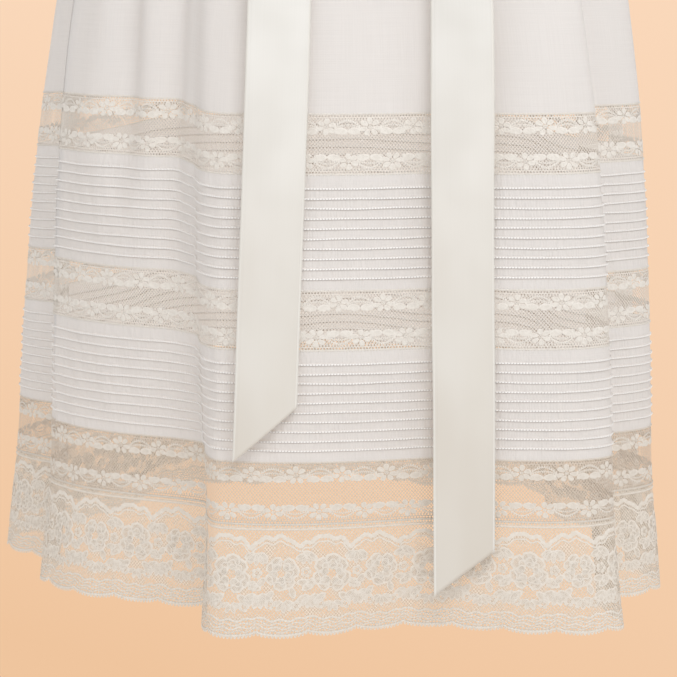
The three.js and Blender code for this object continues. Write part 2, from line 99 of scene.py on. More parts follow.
# Back fastening
PLACKET_HALF_WIDTH = 0.008
PLACKET_TOP_Z = -0.0255
PLACKET_BOTTOM_Z = -0.0942
PLACKET_LIFT = 0.0019
BUTTON_HEIGHTS = (-0.036, -0.061, -0.086)
BUTTON_RADIUS = 0.0045
BUTTON_THICKNESS = 0.0022
BUTTON_RIM = 0.0012
BUTTON_SINK = 0.0005
BUTTON_HOLE_RADIUS = 0.0005
BUTTON_HOLE_ASIDE = 0.0009
BUTTON_BEVEL = 0.0005
BUTTON_CLEARANCE = 0.0005
BUTTON_THREAD_SINK = 0.00045
DRILL_DEPTH = 0.01
PLACKET_WALL = 0.0012
PLACKET_STITCH_ASIDE = 0.0065
PLACKET_STITCH_INSET = 0.0015
PLACKET_STITCH_LIFT = 0.0002
PLACKET_STITCH_STEPS = 40

# Skirt outline: drop below the waist, half width, half depth
SKIRT_SECTIONS = np.array([
    (0.000, 0.084, 0.068),
    (0.022, 0.104, 0.090),
    (0.060, 0.130, 0.120),
    (0.120, 0.155, 0.148),
    (0.200, 0.175, 0.171),
    (0.331, 0.196, 0.194),
    (0.470, 0.207, 0.206),
    (0.582, 0.212, 0.211),
    (0.656, 0.220, 0.219),
])
HEM_DROP = 0.656

# Folds round the skirt: degrees from the front centre, reach at the hem, how late it grows
SKIRT_FOLDS = np.array([
    (-105.0, 0.024, 0.7),
    (-89.0, -0.024, 0.5),
    (-76.0, -0.006, 0.3),
    (-36.0, -0.048, 1.5),
    (-24.5, 0.011, 1.0),
    (9.0, -0.022, 10.0),
    (36.0, 0.049, 0.1),
    (48.0, -0.004, 0.3),
    (62.0, 0.015, -0.4),
    (80.0, -0.018, 0.5),
    (98.0, 0.008, 0.5),
    (116.0, -0.026, 1.0),
    (137.0, 0.010, 0.5),
    (155.0, -0.024, 1.0),
    (174.0, 0.012, 0.5),
    (192.0, -0.020, 1.0),
    (208.0, 0.009, 0.5),
    (229.0, -0.027, 1.0),
    (255.0, 0.024, 0.7),
])
WAIST_GATHER = 0.100
FOLD_OVER_AT = -70.0
FOLD_OVER_HALF_WIDTH = 2.2
FOLD_OVER_TURN = 5.6
FOLD_OVER_HEM_TURN = 2.8
BACK_RISE = 0.013
SIDE_RISE = 0.006

# Soft creases of the skirt: degrees and drop at both ends, half width, lift
SKIRT_CREASES = (
    (-60.0, 0.06, -54.0, 0.44, 0.018, -0.0130),
    (-42.0, 0.05, -42.5, 0.50, 0.014, -0.0105),
    (-31.0, 0.08, -31.5, 0.62, 0.013, 0.0070),
    (-64.0, 0.14, -60.0, 0.34, 0.012, 0.0030),
    (-74.6, 0.00, -74.8, 0.46, 0.0060, -0.0120),
    (-70.0, 0.00, -70.0, 0.70, 0.0055, 0.0035),
    (-19.0, 0.05, -14.0, 0.30, 0.011, -0.0025),
    (2.0, 0.06, 1.0, 0.36, 0.009, -0.0030),
    (12.0, 0.16, 15.0, 0.35, 0.013, 0.0025),
    (24.0, 0.04, 21.0, 0.26, 0.010, -0.0030),
    (52.0, 0.09, 50.0, 0.33, 0.010, -0.0035),
    (72.0, 0.05, 70.0, 0.30, 0.012, 0.0030),
    (94.0, 0.08, 91.0, 0.34, 0.010, -0.0035),
    (108.0, 0.04, 107.0, 0.27, 0.011, 0.0028),
    (127.0, 0.10, 124.0, 0.37, 0.012, -0.0030),
    (146.0, 0.05, 148.0, 0.31, 0.010, 0.0030),
    (163.0, 0.06, 166.0, 0.35, 0.009, -0.0038),
    (181.0, 0.12, 183.0, 0.33, 0.012, -0.0024),
    (199.0, 0.05, 200.0, 0.28, 0.010, 0.0030),
    (218.0, 0.08, 219.0, 0.36, 0.011, -0.0034),
    (241.0, 0.05, 243.0, 0.30, 0.010, -0.0030),
    (262.0, 0.07, 260.0, 0.33, 0.012, 0.0028),
)
CREASE_RADIUS = 0.2

# Skirt tiers: drop at the top and at the bottom
TIERS = {
    "skirt_top": (0.0, 0.331),
    "lace_band_upper": (0.331, 0.368),
    "tuck_panel_upper": (0.368, 0.4395),
    "lace_band_middle": (0.4395, 0.4765),
    "tuck_panel_lower": (0.4765, 0.5465),
    "lace_band_lower": (0.5465, 0.5855),
    "lace_edging": (0.5855, 0.656),
}
HALVES = {"front": -90.0, "back": 90.0}
SEAM_SPILL_DEGREES = 8.0
STRIP_STEPS = 1569
SKIRT_COLUMNS = 260
SKIRT_ROWS = 81
BAND_COLUMNS = 300
BAND_ROWS = 9
HEM_ROWS = 19

# Tucks
TUCK_COUNT = 10
TUCK_MARGIN = 0.008
TUCK_HEIGHT = 0.00085
# Across a tuck: distance down, lift, and how much painted shadow lies in the fold under it
TUCK_PROFILE = (
    (-0.00045, 0.0, 0.0),
    (-0.0001, 0.00002, 0.0),
    (0.0001, 0.00050, 0.0),
    (0.0005, TUCK_HEIGHT, 0.0),
    (0.0009, TUCK_HEIGHT, 0.0),
    (0.00105, 0.00018, 1.0),
    (0.0014, 0.0, 1.0),
    (0.0018, 0.0, 0.0),
)
TUCK_COLUMN = 0.0028
TUCK_STITCH_DOWN = 0.0006
TUCK_STITCH_CLEARANCE = 0.00005
GATHER_ALLOWANCE = 0.020

# Lace
BAND_REPEAT = 0.0566
EDGING_REPEAT = 0.064
SCALLOPS_IN_REPEAT = 2
SCALLOP_DEPTH = 0.0042
EDGING_LIFT = 1.15
# Leaf fans of the hem lace: share of the repeat, distance down, leaves, length of a leaf
EDGING_SPRAYS = (
    (0.49, 0.0175, 5, 0.0080),
    (0.99, 0.0180, 4, 0.0072),
    (0.51, 0.0430, 6, 0.0094),
    (0.02, 0.0440, 6, 0.0086),
    (0.25, 0.0490, 4, 0.0070),
    (0.76, 0.0475, 5, 0.0076),
)
# Buds of the hem lace: share of the repeat, distance down
EDGING_BUDS = (
    (0.50, 0.0305), (0.46, 0.0385), (0.98, 0.0300), (0.03, 0.0370),
    (0.12, 0.0505), (0.38, 0.0515), (0.63, 0.0500), (0.88, 0.0510),
)
CORD_STEP = 0.004
NEEDLE_CLEARANCE = 0.0001
SEAM_ROLL_WIDTH = 0.0007
SEAM_ROLL_LIFT = 0.0002

# Stitches along the edges of the bodice and sleeves, set wider apart than those of the tucks
EDGE_STITCH_LENGTH = 0.0014
EDGE_STITCH_SPACING = 1.4

# Ribbon
RIBBON_WIDTH = 0.039
SASH_BOTTOM_Z = WAIST_Z + 0.001
SASH_LIFT = 0.0015
KNOT_Z = SASH_BOTTOM_Z + RIBBON_WIDTH / 2
KNOT_Y = -0.078
KNOT_HALF_HEIGHT = 0.015
KNOT_HALF_DEPTH = 0.008
KNOT_WIDTH = 0.024
SASH_FLAT_RADIUS = 0.077
KNOT_FLAT_RADIUS = 0.012
LOOP_FLAT_LENGTH = 0.16
LOOP_LENGTH = 0.078
LOOP_DROOP = 0.026
LOOP_HALF_DEPTH = 0.013
LOOP_PINCH = 0.53
LOOP_MOUTH = 0.0024
TAIL_START = -0.0085
TAIL_CLEARANCE = 0.0026
TAIL_SPREAD_DROP = 0.260
TAIL_TOP_SPREAD = 0.010
TAIL_TOP_SHARE = 0.45
TAIL_OPEN_DROP = 0.090
TAILS = {
    "right": {"side": -1, "spread": 0.053, "end_spread": 0.064, "inner_end": 0.511, "outer_end": 0.545,
              "turn": 0.0, "curl": 0.0},
    "left": {"side": 1, "spread": 0.058, "end_spread": 0.060, "inner_end": 0.631, "outer_end": 0.604,
             "turn": 20.0, "curl": 0.006},
}

# Flat sizes of the cut pieces
CUTS = {
    "bodice_front": (0.24, 0.14),
    "bodice_back_left": (0.13, 0.16),
    "bodice_back_right": (0.13, 0.16),
    "neck_binding": (0.272, 0.015),
    "sleeve": (0.26, 0.075),
    "cuff": (0.205, 0.020),
    "back_placket": (0.017, 0.082),
    "sash": (0.49, RIBBON_WIDTH),
    "bow_knot": (0.075, KNOT_WIDTH),
    "bow_loop": (0.170, RIBBON_WIDTH),
}
TAIL_ALLOWANCE = 0.02

# Lights: place, the point looked at, width
LIGHTS = {
    "key_light": ((0.24, -1.60, 0.80), (0.0, -0.15, -0.55), 0.9),
    "back_light": ((0.35, 2.1, 0.9), (0.0, 0.1, -0.45), 1.0),
    "floor_glow": ((0.0, -0.05, -1.5), (0.0, 0.0, 0.0), 0.8),
}
FLOOR_WIDTH = 120.0
SKY_COLOUR = (1.0, 0.985, 0.97, 1.0)

# Camera
CAMERA_PLACE = (-0.1582, -1.8081, -0.366)
CAMERA_HEADING = -5.0
CAMERA_TILT = 8.6
CAMERA_LENS = 139.5


def smooth(share):
    """Eases a share from 0 to 1."""
    share = np.clip(share, 0.0, 1.0)
    return share * share * (3.0 - 2.0 * share)


def blend(low, high, share):
    """A value between two others."""
    return low + (high - low) * share


def lattice_noise(x, y, seed):
    """Smooth values from -1 to 1 on a unit lattice, alike on every run."""
    column = np.floor(x)
    row = np.floor(y)

    def corner(i, j):
        spun = np.sin((column + i) * 127.1 + (row + j) * 311.7 + seed * 74.7) * 43758.5453
        return 2.0 * (spun - np.floor(spun)) - 1.0

    across = smooth(x - column)
    top = blend(corner(0, 0), corner(1, 0), across)
    low = blend(corner(0, 1), corner(1, 1), across)
    return blend(top, low, smooth(y - row))


def turn_from(start, degrees):
    """The same turn, counted on from a start."""
    return start + np.mod(degrees - start, 360.0)


def crease_lift(x, y, creases):
    """Height of soft troughs and ridges that lie along lines: both ends, half width, lift."""
    total = np.zeros(np.broadcast(x, y).shape)
    for from_x, from_y, to_x, to_y, width, lift in creases:
        run_x = to_x - from_x
        run_y = to_y - from_y
        share = ((x - from_x) * run_x + (y - from_y) * run_y) / (run_x**2 + run_y**2)
        aside = ((x - from_x) * run_y - (y - from_y) * run_x) / np.hypot(run_x, run_y)
        fade = smooth(share / 0.35) * smooth((1.0 - share) / 0.35)
        total += lift * fade * np.exp(-((aside / width) ** 2))
    return total


def section_slopes(values):
    """How steeply the outline changes at each section."""
    drops = SKIRT_SECTIONS[:, 0]
    before = np.maximum(np.arange(len(drops)) - 1, 0)
    after = np.minimum(np.arange(len(drops)) + 1, len(drops) - 1)
    return (values[after] - values[before]) / (drops[after] - drops[before])


def skirt_outline(drop, column):
    """Half width (column 1) or half depth (column 2) of the skirt at a drop."""
    drops = SKIRT_SECTIONS[:, 0]
    values = SKIRT_SECTIONS[:, column]
    slopes = section_slopes(values)
    index = np.clip(np.searchsorted(drops, drop) - 1, 0, len(drops) - 2)
    span = drops[index + 1] - drops[index]
    t = (drop - drops[index]) / span
    return (
        (2 * t**3 - 3 * t**2 + 1) * values[index]
        + (t**3 - 2 * t**2 + t) * span * slopes[index]
        + (3 * t**2 - 2 * t**3) * values[index + 1]
        + (t**3 - t**2) * span * slopes[index + 1]
    )


def fold_reach(degrees, drop):
    """How far the big folds stand out from the outline."""
    at, reach, late = SKIRT_FOLDS.T
    turned = turn_from(at[0], degrees)
    index = np.clip(np.searchsorted(at, turned, side="right") - 1, 0, len(at) - 2)
    fallen = np.maximum(drop, 1e-5) / HEM_DROP
    here = reach[index] * fallen ** late[index]
    there = reach[index + 1] * fallen ** late[index + 1]
    share = smooth((turned - at[index]) / (at[index + 1] - at[index]))
    return (1.0 - np.exp(-drop / WAIST_GATHER)) * blend(here, there, share)


def gather_reach(degrees, drop):
    """Small pleats below the waist seam and the soft creases lower down."""
    turn = turn_from(-90.0, degrees)
    rooted = 1.0 - np.exp(-drop / 0.006)
    fine = lattice_noise(turn / 4.0, drop / 0.14, 3) * 0.0036 * np.exp(-drop / 0.075)
    broad = lattice_noise(turn / 9.0, drop / 0.45, 5) * 0.0080 * np.exp(-drop / 0.16)
    creases = [
        (np.radians(a) * CREASE_RADIUS, top, np.radians(b) * CREASE_RADIUS, low, width, lift)
        for a, top, b, low, width, lift in SKIRT_CREASES
    ]
    return rooted * (fine + broad) + crease_lift(np.radians(turn) * CREASE_RADIUS, drop, creases)


def skirt_rise(degrees, drop):
    """How much higher the cloth hangs at the back and, half way down, on the right side."""
    turn = turn_from(-180.0, degrees)
    back = BACK_RISE * smooth((np.abs(turn) - 100.0) / 40.0) * smooth(drop / 0.45)
    side = SIDE_RISE * smooth((turn + 110.0) / 30.0) * smooth((-25.0 - turn) / 20.0)
    return back + side * smooth(drop / 0.30) * (1.0 - smooth((drop - 0.36) / 0.29))


def fold_over(degrees, drop):
    """How far the edge of the right side fold laps round over the cloth behind it."""
    turn = turn_from(-180.0, degrees)
    near = np.exp(-(((turn - FOLD_OVER_AT) / FOLD_OVER_HALF_WIDTH) ** 2))
    reach = blend(FOLD_OVER_TURN, FOLD_OVER_HEM_TURN, smooth((drop - 0.40) / 0.2))
    return near * smooth(drop / 0.2) * reach


def skirt_surface(degrees, drop):
    """Points on the outside of the skirt."""
    drop = np.maximum(drop, 0.0)
    angle = np.radians(degrees - fold_over(degrees, drop))
    across = np.sin(angle) / skirt_outline(drop, 1)
    deep = np.cos(angle) / skirt_outline(drop, 2)
    radius = 1.0 / np.hypot(across, deep) + fold_reach(degrees, drop) + gather_reach(degrees, drop)
    height = WAIST_Z - drop + skirt_rise(degrees, drop)
    return np.stack([radius * np.sin(angle), -radius * np.cos(angle), height], axis=-1)


def running_lengths(places):
    """The length along a line, up to each of its places."""
    steps = np.linalg.norm(np.diff(places, axis=0), axis=1)
    return np.concatenate([[0.0], np.cumsum(steps)])


class Strip:
    """One half of a skirt tier, measured as cloth: lengths to the right and down become places."""

    def __init__(self, tier, half, flutter=0.0):
        self.top, self.bottom = TIERS[tier]
        self.height = self.bottom - self.top
        self.flutter = flutter
        start = HALVES[half]
        first = start - SEAM_SPILL_DEGREES
        self.angles = np.linspace(first, start + 180.0 + SEAM_SPILL_DEGREES, STRIP_STEPS)
        middle = np.full_like(self.angles, (self.top + self.bottom) / 2)
        lengths = running_lengths(skirt_surface(self.angles, middle))
        self.lengths = lengths - np.interp(start, self.angles, lengths)
        self.length = np.interp(start + 180.0, self.angles, self.lengths)

    def surface(self, along, down):
        """Points on the cloth."""
        return skirt_surface(np.interp(along, self.lengths, self.angles), self.top + down)

    def place(self, along, down, lift=0.0):
        """Places at a height over the cloth; a fluttering edge moves more the lower it is."""
        along, down, lift = np.broadcast_arrays(along, down, lift)
        step = 0.0005
        right = self.surface(along + step, down) - self.surface(along - step, down)
        up = self.surface(along, down - step) - self.surface(along, down + step)
        outward = np.cross(right, up)
        outward /= np.linalg.norm(outward, axis=-1, keepdims=True)
        loose = smooth(down / self.height) * self.flutter
        wave = lattice_noise(along / 0.021, down / 0.09, 21)
        wave = wave + 0.5 * lattice_noise(along / 0.009, down / 0.05, 22)
        return self.surface(along, down) + outward * (lift + loose * wave)[..., None]

    def grid(self, columns, downs):
        """Cloth lengths to the right and down at the crossings of a grid."""
        alongs = np.linspace(0.0, self.length, columns + 1)
        return np.meshgrid(alongs, np.asarray(downs))

    def level_cord(self, down, width, lift):
        """A raised thread along the whole strip."""
        steps = int(self.length / CORD_STEP)
        path = np.linspace(0.0, self.length, steps + 1)
        return cord(np.column_stack([path, np.full(steps + 1, down)]), width, lift)

    def needlework(self, name, shapes, clearance=NEEDLE_CLEARANCE):
        """Small raised shapes laid on the cloth."""
        points, faces = joined(shapes)
        places = self.place(points[:, 0], points[:, 1], points[:, 2] + clearance)
        return make_needlework(name, places, faces, points)


def set_map(mesh, name, values):
    """Stores two values for every vertex as a named flat map."""
    layer = mesh.uv_layers.get(name) or mesh.uv_layers.new(name=name)
    corners = np.empty(len(mesh.loops), dtype=np.int32)
    mesh.loops.foreach_get("vertex_index", corners)
    layer.uv.foreach_set("vector", values[corners].astype(np.float32).ravel())


def make_sheet(name, places, along, down, maps=None, closed=False, wall=0.0):
    """A grid of cloth. Rows run down and columns run right as seen from outside."""
    rows, columns = along.shape
    bpy.ops.mesh.primitive_grid_add(x_subdivisions=columns - 1, y_subdivisions=rows - 1, size=1.0)
    sheet = bpy.context.active_object
    sheet.name = name
    sheet.data.name = name
    mesh = sheet.data
    mesh.vertices.foreach_set("co", places[::-1].astype(np.float32).ravel())
    mesh.uv_layers[0].name = "cloth"
    set_map(mesh, "cloth", np.stack([along, down], axis=-1)[::-1].reshape(-1, 2))
    for label, values in (maps or {}).items():
        set_map(mesh, label, values[::-1].reshape(-1, 2))
    mesh.update()
    if closed:
        bpy.ops.object.mode_set(mode="EDIT")
        bpy.ops.mesh.select_all(action="SELECT")
        bpy.ops.mesh.remove_doubles(threshold=1e-6)
        bpy.ops.object.mode_set(mode="OBJECT")
    bpy.ops.object.shade_smooth()
    if wall:
        bpy.ops.object.modifier_add(type="SOLIDIFY")
        modifier = sheet.modifiers[-1]
        modifier.thickness = wall
        modifier.offset = -1.0
        bpy.ops.object.modifier_apply(modifier=modifier.name)
    return sheet


def make_needlework(name, places, faces, points):
    """Many small raised shapes as one mesh of triangles."""
    mesh = bpy.data.meshes.new(name)
    mesh.from_pydata(places.tolist(), [], faces.tolist())
    set_map(mesh, "cloth", points[:, :2])
    set_map(mesh, "edges", points[:, 3:4] * [1.0, 0.0])
    mesh.polygons.foreach_set("use_smooth", np.ones(len(faces), dtype=bool))
    mesh.update()
    work = bpy.data.objects.new(name, mesh)
    bpy.context.scene.collection.objects.link(work)
    return work


def settle(piece, finish, slot, *nodes):
    """Gives a piece its finish and ties it to the frame."""
    piece.data.materials.clear()
    piece.data.materials.append(finish)
    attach(piece, "root")
    if nodes:
        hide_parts(*nodes)


# Small raised shapes: triangles, and points to the right, down, out and how close the work is


def ring_faces(count, rings):
    """Triangles between closed rings of points, from the outermost in."""
    i = np.arange(count)
    j = (i + 1) % count
    faces = []
    for start in count * np.arange(rings - 1):
        faces.append(np.column_stack([start + i, start + j, start + count + j]))
        faces.append(np.column_stack([start + i, start + count + j, start + count + i]))
    return faces


def pad(outline, lift, close=0.62):
    """A flat padded shape with a low edge, a raised ridge inside it and a thinner middle."""
    ridge = 0.8
    middle = 0.7
    count = len(outline)
    centre = outline.mean(axis=0)
    rings = ((1.0, 0.1, 1.0), (ridge, 1.0, 1.0), (ridge - 0.14, middle, close))
    points = [
        np.column_stack([blend(centre, outline, reach), np.full((count, 2), (height * lift, work))])
        for reach, height, work in rings
    ]
    points.append([[centre[0], centre[1], middle * lift, close]])
    i = np.arange(count)
    fan = np.column_stack([2 * count + i, 2 * count + (i + 1) % count, np.full(count, 3 * count)])
    return np.vstack(points), np.vstack(ring_faces(count, 3) + [fan])


def rosette(radius, lobes, lift, hole):
    """A flower in one piece: a lobed edge, thin lines between its petals and an open middle."""
    notch = 0.26
    count = 4 * lobes
    turn = np.linspace(0.0, 2.0 * np.pi, count, endpoint=False)
    circle = np.column_stack([np.cos(turn), -np.sin(turn)])
    petal = np.abs(np.cos(lobes * turn / 2.0))
    edge = radius * (1.0 - notch + notch * petal**0.7)
    rings = (
        (edge, 0.1, np.ones(count)),
        (0.88 * edge, 1.0, np.ones(count)),
        (0.66 * edge, 0.7, blend(0.15, 0.75, petal**0.6)),
        (np.full(count, hole * radius), 0.8, np.ones(count)),
    )
    points = np.vstack([
        np.column_stack([circle * reach[:, None], np.full(count, height * lift), work])
        for reach, height, work in rings
    ])
    middle = pad(oval(1.2 * hole * radius, 1.2 * hole * radius, 6), lift)
    return joined([(points, np.vstack(ring_faces(count, 4))), middle])


def petals(count, reach, length, width, lift, close, seed, unevenness):
    """A ring of separate petals, uneven in size and spacing, each lying a little over the last."""
    shapes = []
    for index in range(count):
        size = 1.0 + unevenness * np.sin(5.1 * index + seed)
        degrees = 360.0 * index / count + 60.0 * unevenness * np.sin(3.7 * index + seed) + 23.0 * seed
        angle = np.radians(degrees)
        height = lift * (1.0 + 0.3 * (index % 3))
        petal = pad(oval(length * size, width * size, fullness=0.28), height, close)
        shapes.append(set_at(petal, reach * np.cos(angle), reach * np.sin(angle), degrees))
    return joined(shapes)


def daisy(radius, count, lift, seed):
    """A flower of separate petals round a small open middle."""
    width = 1.15 * radius * np.sin(np.pi / count)
    ring = petals(count, 0.63 * radius, 0.78 * radius, width, lift, 0.8, seed, 0.05)
    return joined([ring, pad(oval(0.40 * radius, 0.40 * radius, 6), lift, 0.0)])


def cord(path, width, lift):
    """A raised thread along a path; the width may vary from point to point."""
    path = np.asarray(path, dtype=float)
    run = np.gradient(path, axis=0)
    run /= np.linalg.norm(run, axis=1, keepdims=True)
    up = np.column_stack([run[:, 1], -run[:, 0]]) * (np.broadcast_to(width, len(path)) / 2)[:, None]
    count = len(path)
    points = np.vstack([
        np.column_stack([path + up, np.zeros(count), np.ones(count)]),
        np.column_stack([path, np.full(count, lift), np.ones(count)]),
        np.column_stack([path - up, np.zeros(count), np.ones(count)]),
    ])
    i = np.arange(count - 1)
    faces = []
    for high, low in ((0, count), (count, 2 * count)):
        faces.append(np.column_stack([low + i, low + i + 1, high + i + 1]))
        faces.append(np.column_stack([low + i, high + i + 1, high + i]))
    return points, np.vstack(faces)


def oval(length, width, sides=8, fullness=0.0):
    """An outline that is fuller toward its far end."""
    turn = np.linspace(0.0, 2.0 * np.pi, sides, endpoint=False)
    across = -0.5 * width * np.sin(turn) * (1.0 + fullness * np.cos(turn))
    return np.column_stack([0.5 * length * np.cos(turn), across])


def leaf_outline(length, width):
    """An outline with a point at each end."""
    turn = np.linspace(0.0, 2.0 * np.pi, 8, endpoint=False)
    across = -0.5 * width * np.sin(turn) * np.abs(np.sin(turn)) ** 0.3
    return np.column_stack([0.5 * length * np.cos(turn), across])


def set_at(shape, along, down, degrees=0.0):
    """Turns a shape clockwise as seen and moves it."""
    points, faces = shape
    angle = np.radians(degrees)
    turned = points.copy()
    turned[:, 0] = points[:, 0] * np.cos(angle) - points[:, 1] * np.sin(angle) + along
    turned[:, 1] = points[:, 0] * np.sin(angle) + points[:, 1] * np.cos(angle) + down
    return turned, faces


def joined(shapes):
    """Several shapes as one."""
    starts = np.cumsum([0] + [len(points) for points, _ in shapes[:-1]])
    points = np.vstack([points for points, _ in shapes])
    faces = np.vstack([faces + start for (_, faces), start in zip(shapes, starts)])
    return points, faces


def mirrored(shape, height):
    """A shape turned upside down within a band of that height."""
    points, faces = shape
    flipped = points.copy()
    flipped[:, 1] = height - points[:, 1]
    return flipped, faces[:, ::-1]


def repeated(shape, alongs, downs=0.0):
    """Copies of a shape, moved to the right and down."""
    points, faces = shape
    alongs, downs = np.broadcast_arrays(np.asarray(alongs, dtype=float), downs)
    copies = np.repeat(points[None], len(alongs), axis=0)
    copies[:, :, 0] += alongs[:, None]
    copies[:, :, 1] += downs[:, None]
    starts = np.arange(len(alongs)) * len(points)
    return copies.reshape(-1, 4), (faces[None] + starts[:, None, None]).reshape(-1, 3)


def stretched(shape, factor):
    """A shape made longer sideways."""
    points, faces = shape
    wide = points.copy()
    wide[:, 0] *= factor
    return wide, faces


def rose(radius, lift, seed):
    """An open rose: uneven outer petals, smaller inner ones and an open middle."""
    outer = petals(7, 0.62 * radius, 0.76 * radius, 0.74 * radius, lift, 0.5, seed, 0.13)
    inner = petals(5, 0.36 * radius, 0.36 * radius, 0.46 * radius, 2.0 * lift, 0.55, seed + 2.0, 0.10)
    turn = np.linspace(0.0, 2.0 * np.pi, 49)
    reach = radius * (0.62 + 0.07 * np.sin(8.0 * turn + seed) + 0.04 * np.sin(3.0 * turn))
    path = np.column_stack([reach * np.cos(turn), reach * np.sin(turn)])
    wave = cord(path, 0.0010, lift)
    wave[0][:, 2] += 1.6 * lift
    return joined([outer, inner, wave])


def spray(stems, length, lift):
    """A fan of leaves that spreads downward from its foot."""
    shapes = []
    leaf = pad(leaf_outline(length, 0.5 * length), lift)
    out = 0.6 * length
    for degrees in np.linspace(-64.0, 64.0, stems):
        angle = np.radians(degrees)
        shapes.append(set_at(leaf, out * np.sin(angle), out * np.cos(angle), 90.0 - degrees))
    return joined(shapes)


def beaded(count, thin, thick):
    """Shares from 0 to 1 along a thread, and widths that change from thin to thick at every point."""
    return np.linspace(0.0, 1.0, count), np.where(np.arange(count) % 2 == 0, thin, thick)


def band_row(unit, lift):
    """One repeat of a lace band's upper flower row: a large and a small flower on a vine."""
    half = unit / 2
    large = stretched(daisy(0.0057, 7, lift, 0.4), 1.26)
    small = stretched(daisy(0.0051, 6, lift, 1.3), 1.22)
    leaf = pad(leaf_outline(0.0086, 0.0046), lift, 0.8)
    bud = pad(oval(0.0030, 0.0024, 6), lift, 0.8)
    shapes = [set_at(large, 0.0, 0.0080), set_at(small, half, 0.0078, 8.0)]
    share, beads = beaded(25, 0.0005, 0.0017)
    arch = np.sin(np.pi * share) ** 0.8
    sway = 0.0005 * np.cos(np.pi * np.arange(25))
    for start, first, last in ((0.0, 0.0064, 0.0052), (half, 0.0052, 0.0064)):
        along = start + blend(first, half - last, share)
        upper = np.column_stack([along, 0.0084 - 0.0044 * arch + sway])
        lower = np.column_stack([along, 0.0090 - 0.0024 * arch - sway])
        shapes += [cord(upper, beads, 0.9 * lift), cord(lower, 0.8 * beads, 0.7 * lift)]
        middle = start + half / 2 + (first - last) / 2
        shapes.append(set_at(leaf, middle - 0.0040, 0.0104, 186.0))
        shapes.append(set_at(leaf, middle + 0.0040, 0.0104, -6.0))
        shapes.append(set_at(bud, start + first + 0.0012, 0.0112))
        shapes.append(set_at(bud, start + half - last - 0.0012, 0.0112))
    return joined(shapes)


def garland_line(along, unit):
    """How far down the hem lace the close work begins: arches with small waves in them."""
    turn = 2.0 * np.pi * along / unit
    waves = 0.0008 * np.sin(5.0 * turn) + 0.0006 * np.sin(8.0 * turn)
    return 0.0150 - 0.0072 * np.abs(np.sin(turn + 0.4)) ** 0.7 + waves


def edging_motif(unit, lift):
    """One repeat of the hem lace between its heading and its border."""
    share, beads = beaded(65, 0.0022, 0.0032)
    line = np.column_stack([unit * share, garland_line(unit * share, unit)])
    shapes = [cord(line, beads, lift), cord(line + [0.0, 0.0034], 0.36 * beads, 0.7 * lift)]
    leaf = pad(leaf_outline(0.0112, 0.0058), lift, 0.6)
    small_leaf = pad(leaf_outline(0.0084, 0.0048), lift, 0.6)
    bud = rosette(0.0036, 5, lift, 0.36)
    flowers = ((0.24, 0.0318, 0.0130, 0.7, leaf), (0.74, 0.0304, 0.0112, 2.1, small_leaf))
    for at, down, radius, seed, blade in flowers:
        shapes.append(set_at(rose(radius, lift, seed), unit * at, down))
        for index, degrees in enumerate((-38.0, 24.0, 61.0, 118.0, 156.0, 221.0)):
            angle = np.radians(degrees)
            out = 1.32 * radius + 0.0012 * np.sin(4.0 * index + seed)
            tilt = degrees + 26.0 * np.sin(2.3 * index + seed)
            along = unit * at + out * np.cos(angle)
            shapes.append(set_at(blade, along, down + out * np.sin(angle), tilt))
    for at, down, count, length in EDGING_SPRAYS:
        shapes.append(set_at(spray(count, length, lift), unit * at, down))
    for at, down in EDGING_BUDS:
        shapes.append(set_at(bud, unit * at, down))
    return joined(shapes)


def border_motif(scallop, lift):
    """The border of one scallop, measured from its edge: waved threads and a row of picots."""
    share, knots = beaded(31, 0.0008, 0.0019)
    along = scallop * share
    shapes = [cord(np.column_stack([along, np.full(31, -0.0007)]), knots, 1.2 * lift)]
    for height, size in ((-0.0031, 0.5), (-0.0052, 0.7), (-0.0076, 0.6), (-0.0102, 0.9)):
        ripple = 0.0008 * np.sin(6.0 * np.pi * share + 400.0 * height)
        shapes.append(cord(np.column_stack([along, height + ripple]), size * knots, lift))
    picot = pad(oval(0.0017, 0.0022, 6), lift)
    for place in np.linspace(0.5, 13.5, 14) / 14.0:
        shapes.append(set_at(picot, scallop * place, 0.0004))
    return joined(shapes)


def scallop_rise(along, scallop):
    """How far the scalloped edge lies above the lowest line."""
    across = 2.0 * np.mod(along / scallop, 1.0) - 1.0
    return SCALLOP_DEPTH * (1.0 - np.sqrt(np.maximum(1.0 - 0.9 * across**2, 0.0)))


def stitch_shape(length, width, lift, degrees=0.0):
    """One hand stitch: a small roofed bar."""
    points = np.array([
        (-length / 2, -width / 2, 0.0, 1.0),
        (length / 2, -width / 2, 0.0, 1.0),
        (length / 2, width / 2, 0.0, 1.0),
        (-length / 2, width / 2, 0.0, 1.0),
        (-length / 4, 0.0, lift, 1.0),
        (length / 4, 0.0, lift, 1.0),
    ])
    faces = np.array([(3, 2, 5), (3, 5, 4), (1, 0, 4), (1, 4, 5), (2, 1, 5), (0, 3, 4)])
    return set_at((points, faces), 0.0, 0.0, degrees)


def stitch_spots(length, pitch):
    """Middles of even stitches along a line."""
    count = max(int(length / pitch), 2)
    return (np.arange(count) + 0.5) * length / count


def painted_hole_shade(length, width):
    """A flat dark patch where a stitch goes in: painted shade for the dint, darker than the thread."""
    points = np.array([
        (-length / 2, -width / 2, 0.00002, 0.0),
        (length / 2, -width / 2, 0.00002, 0.0),
        (length / 2, width / 2, 0.00002, 0.0),
        (-length / 2, width / 2, 0.00002, 0.0),
    ])
    return points, np.array([(3, 2, 1), (3, 1, 0)])


# Materials


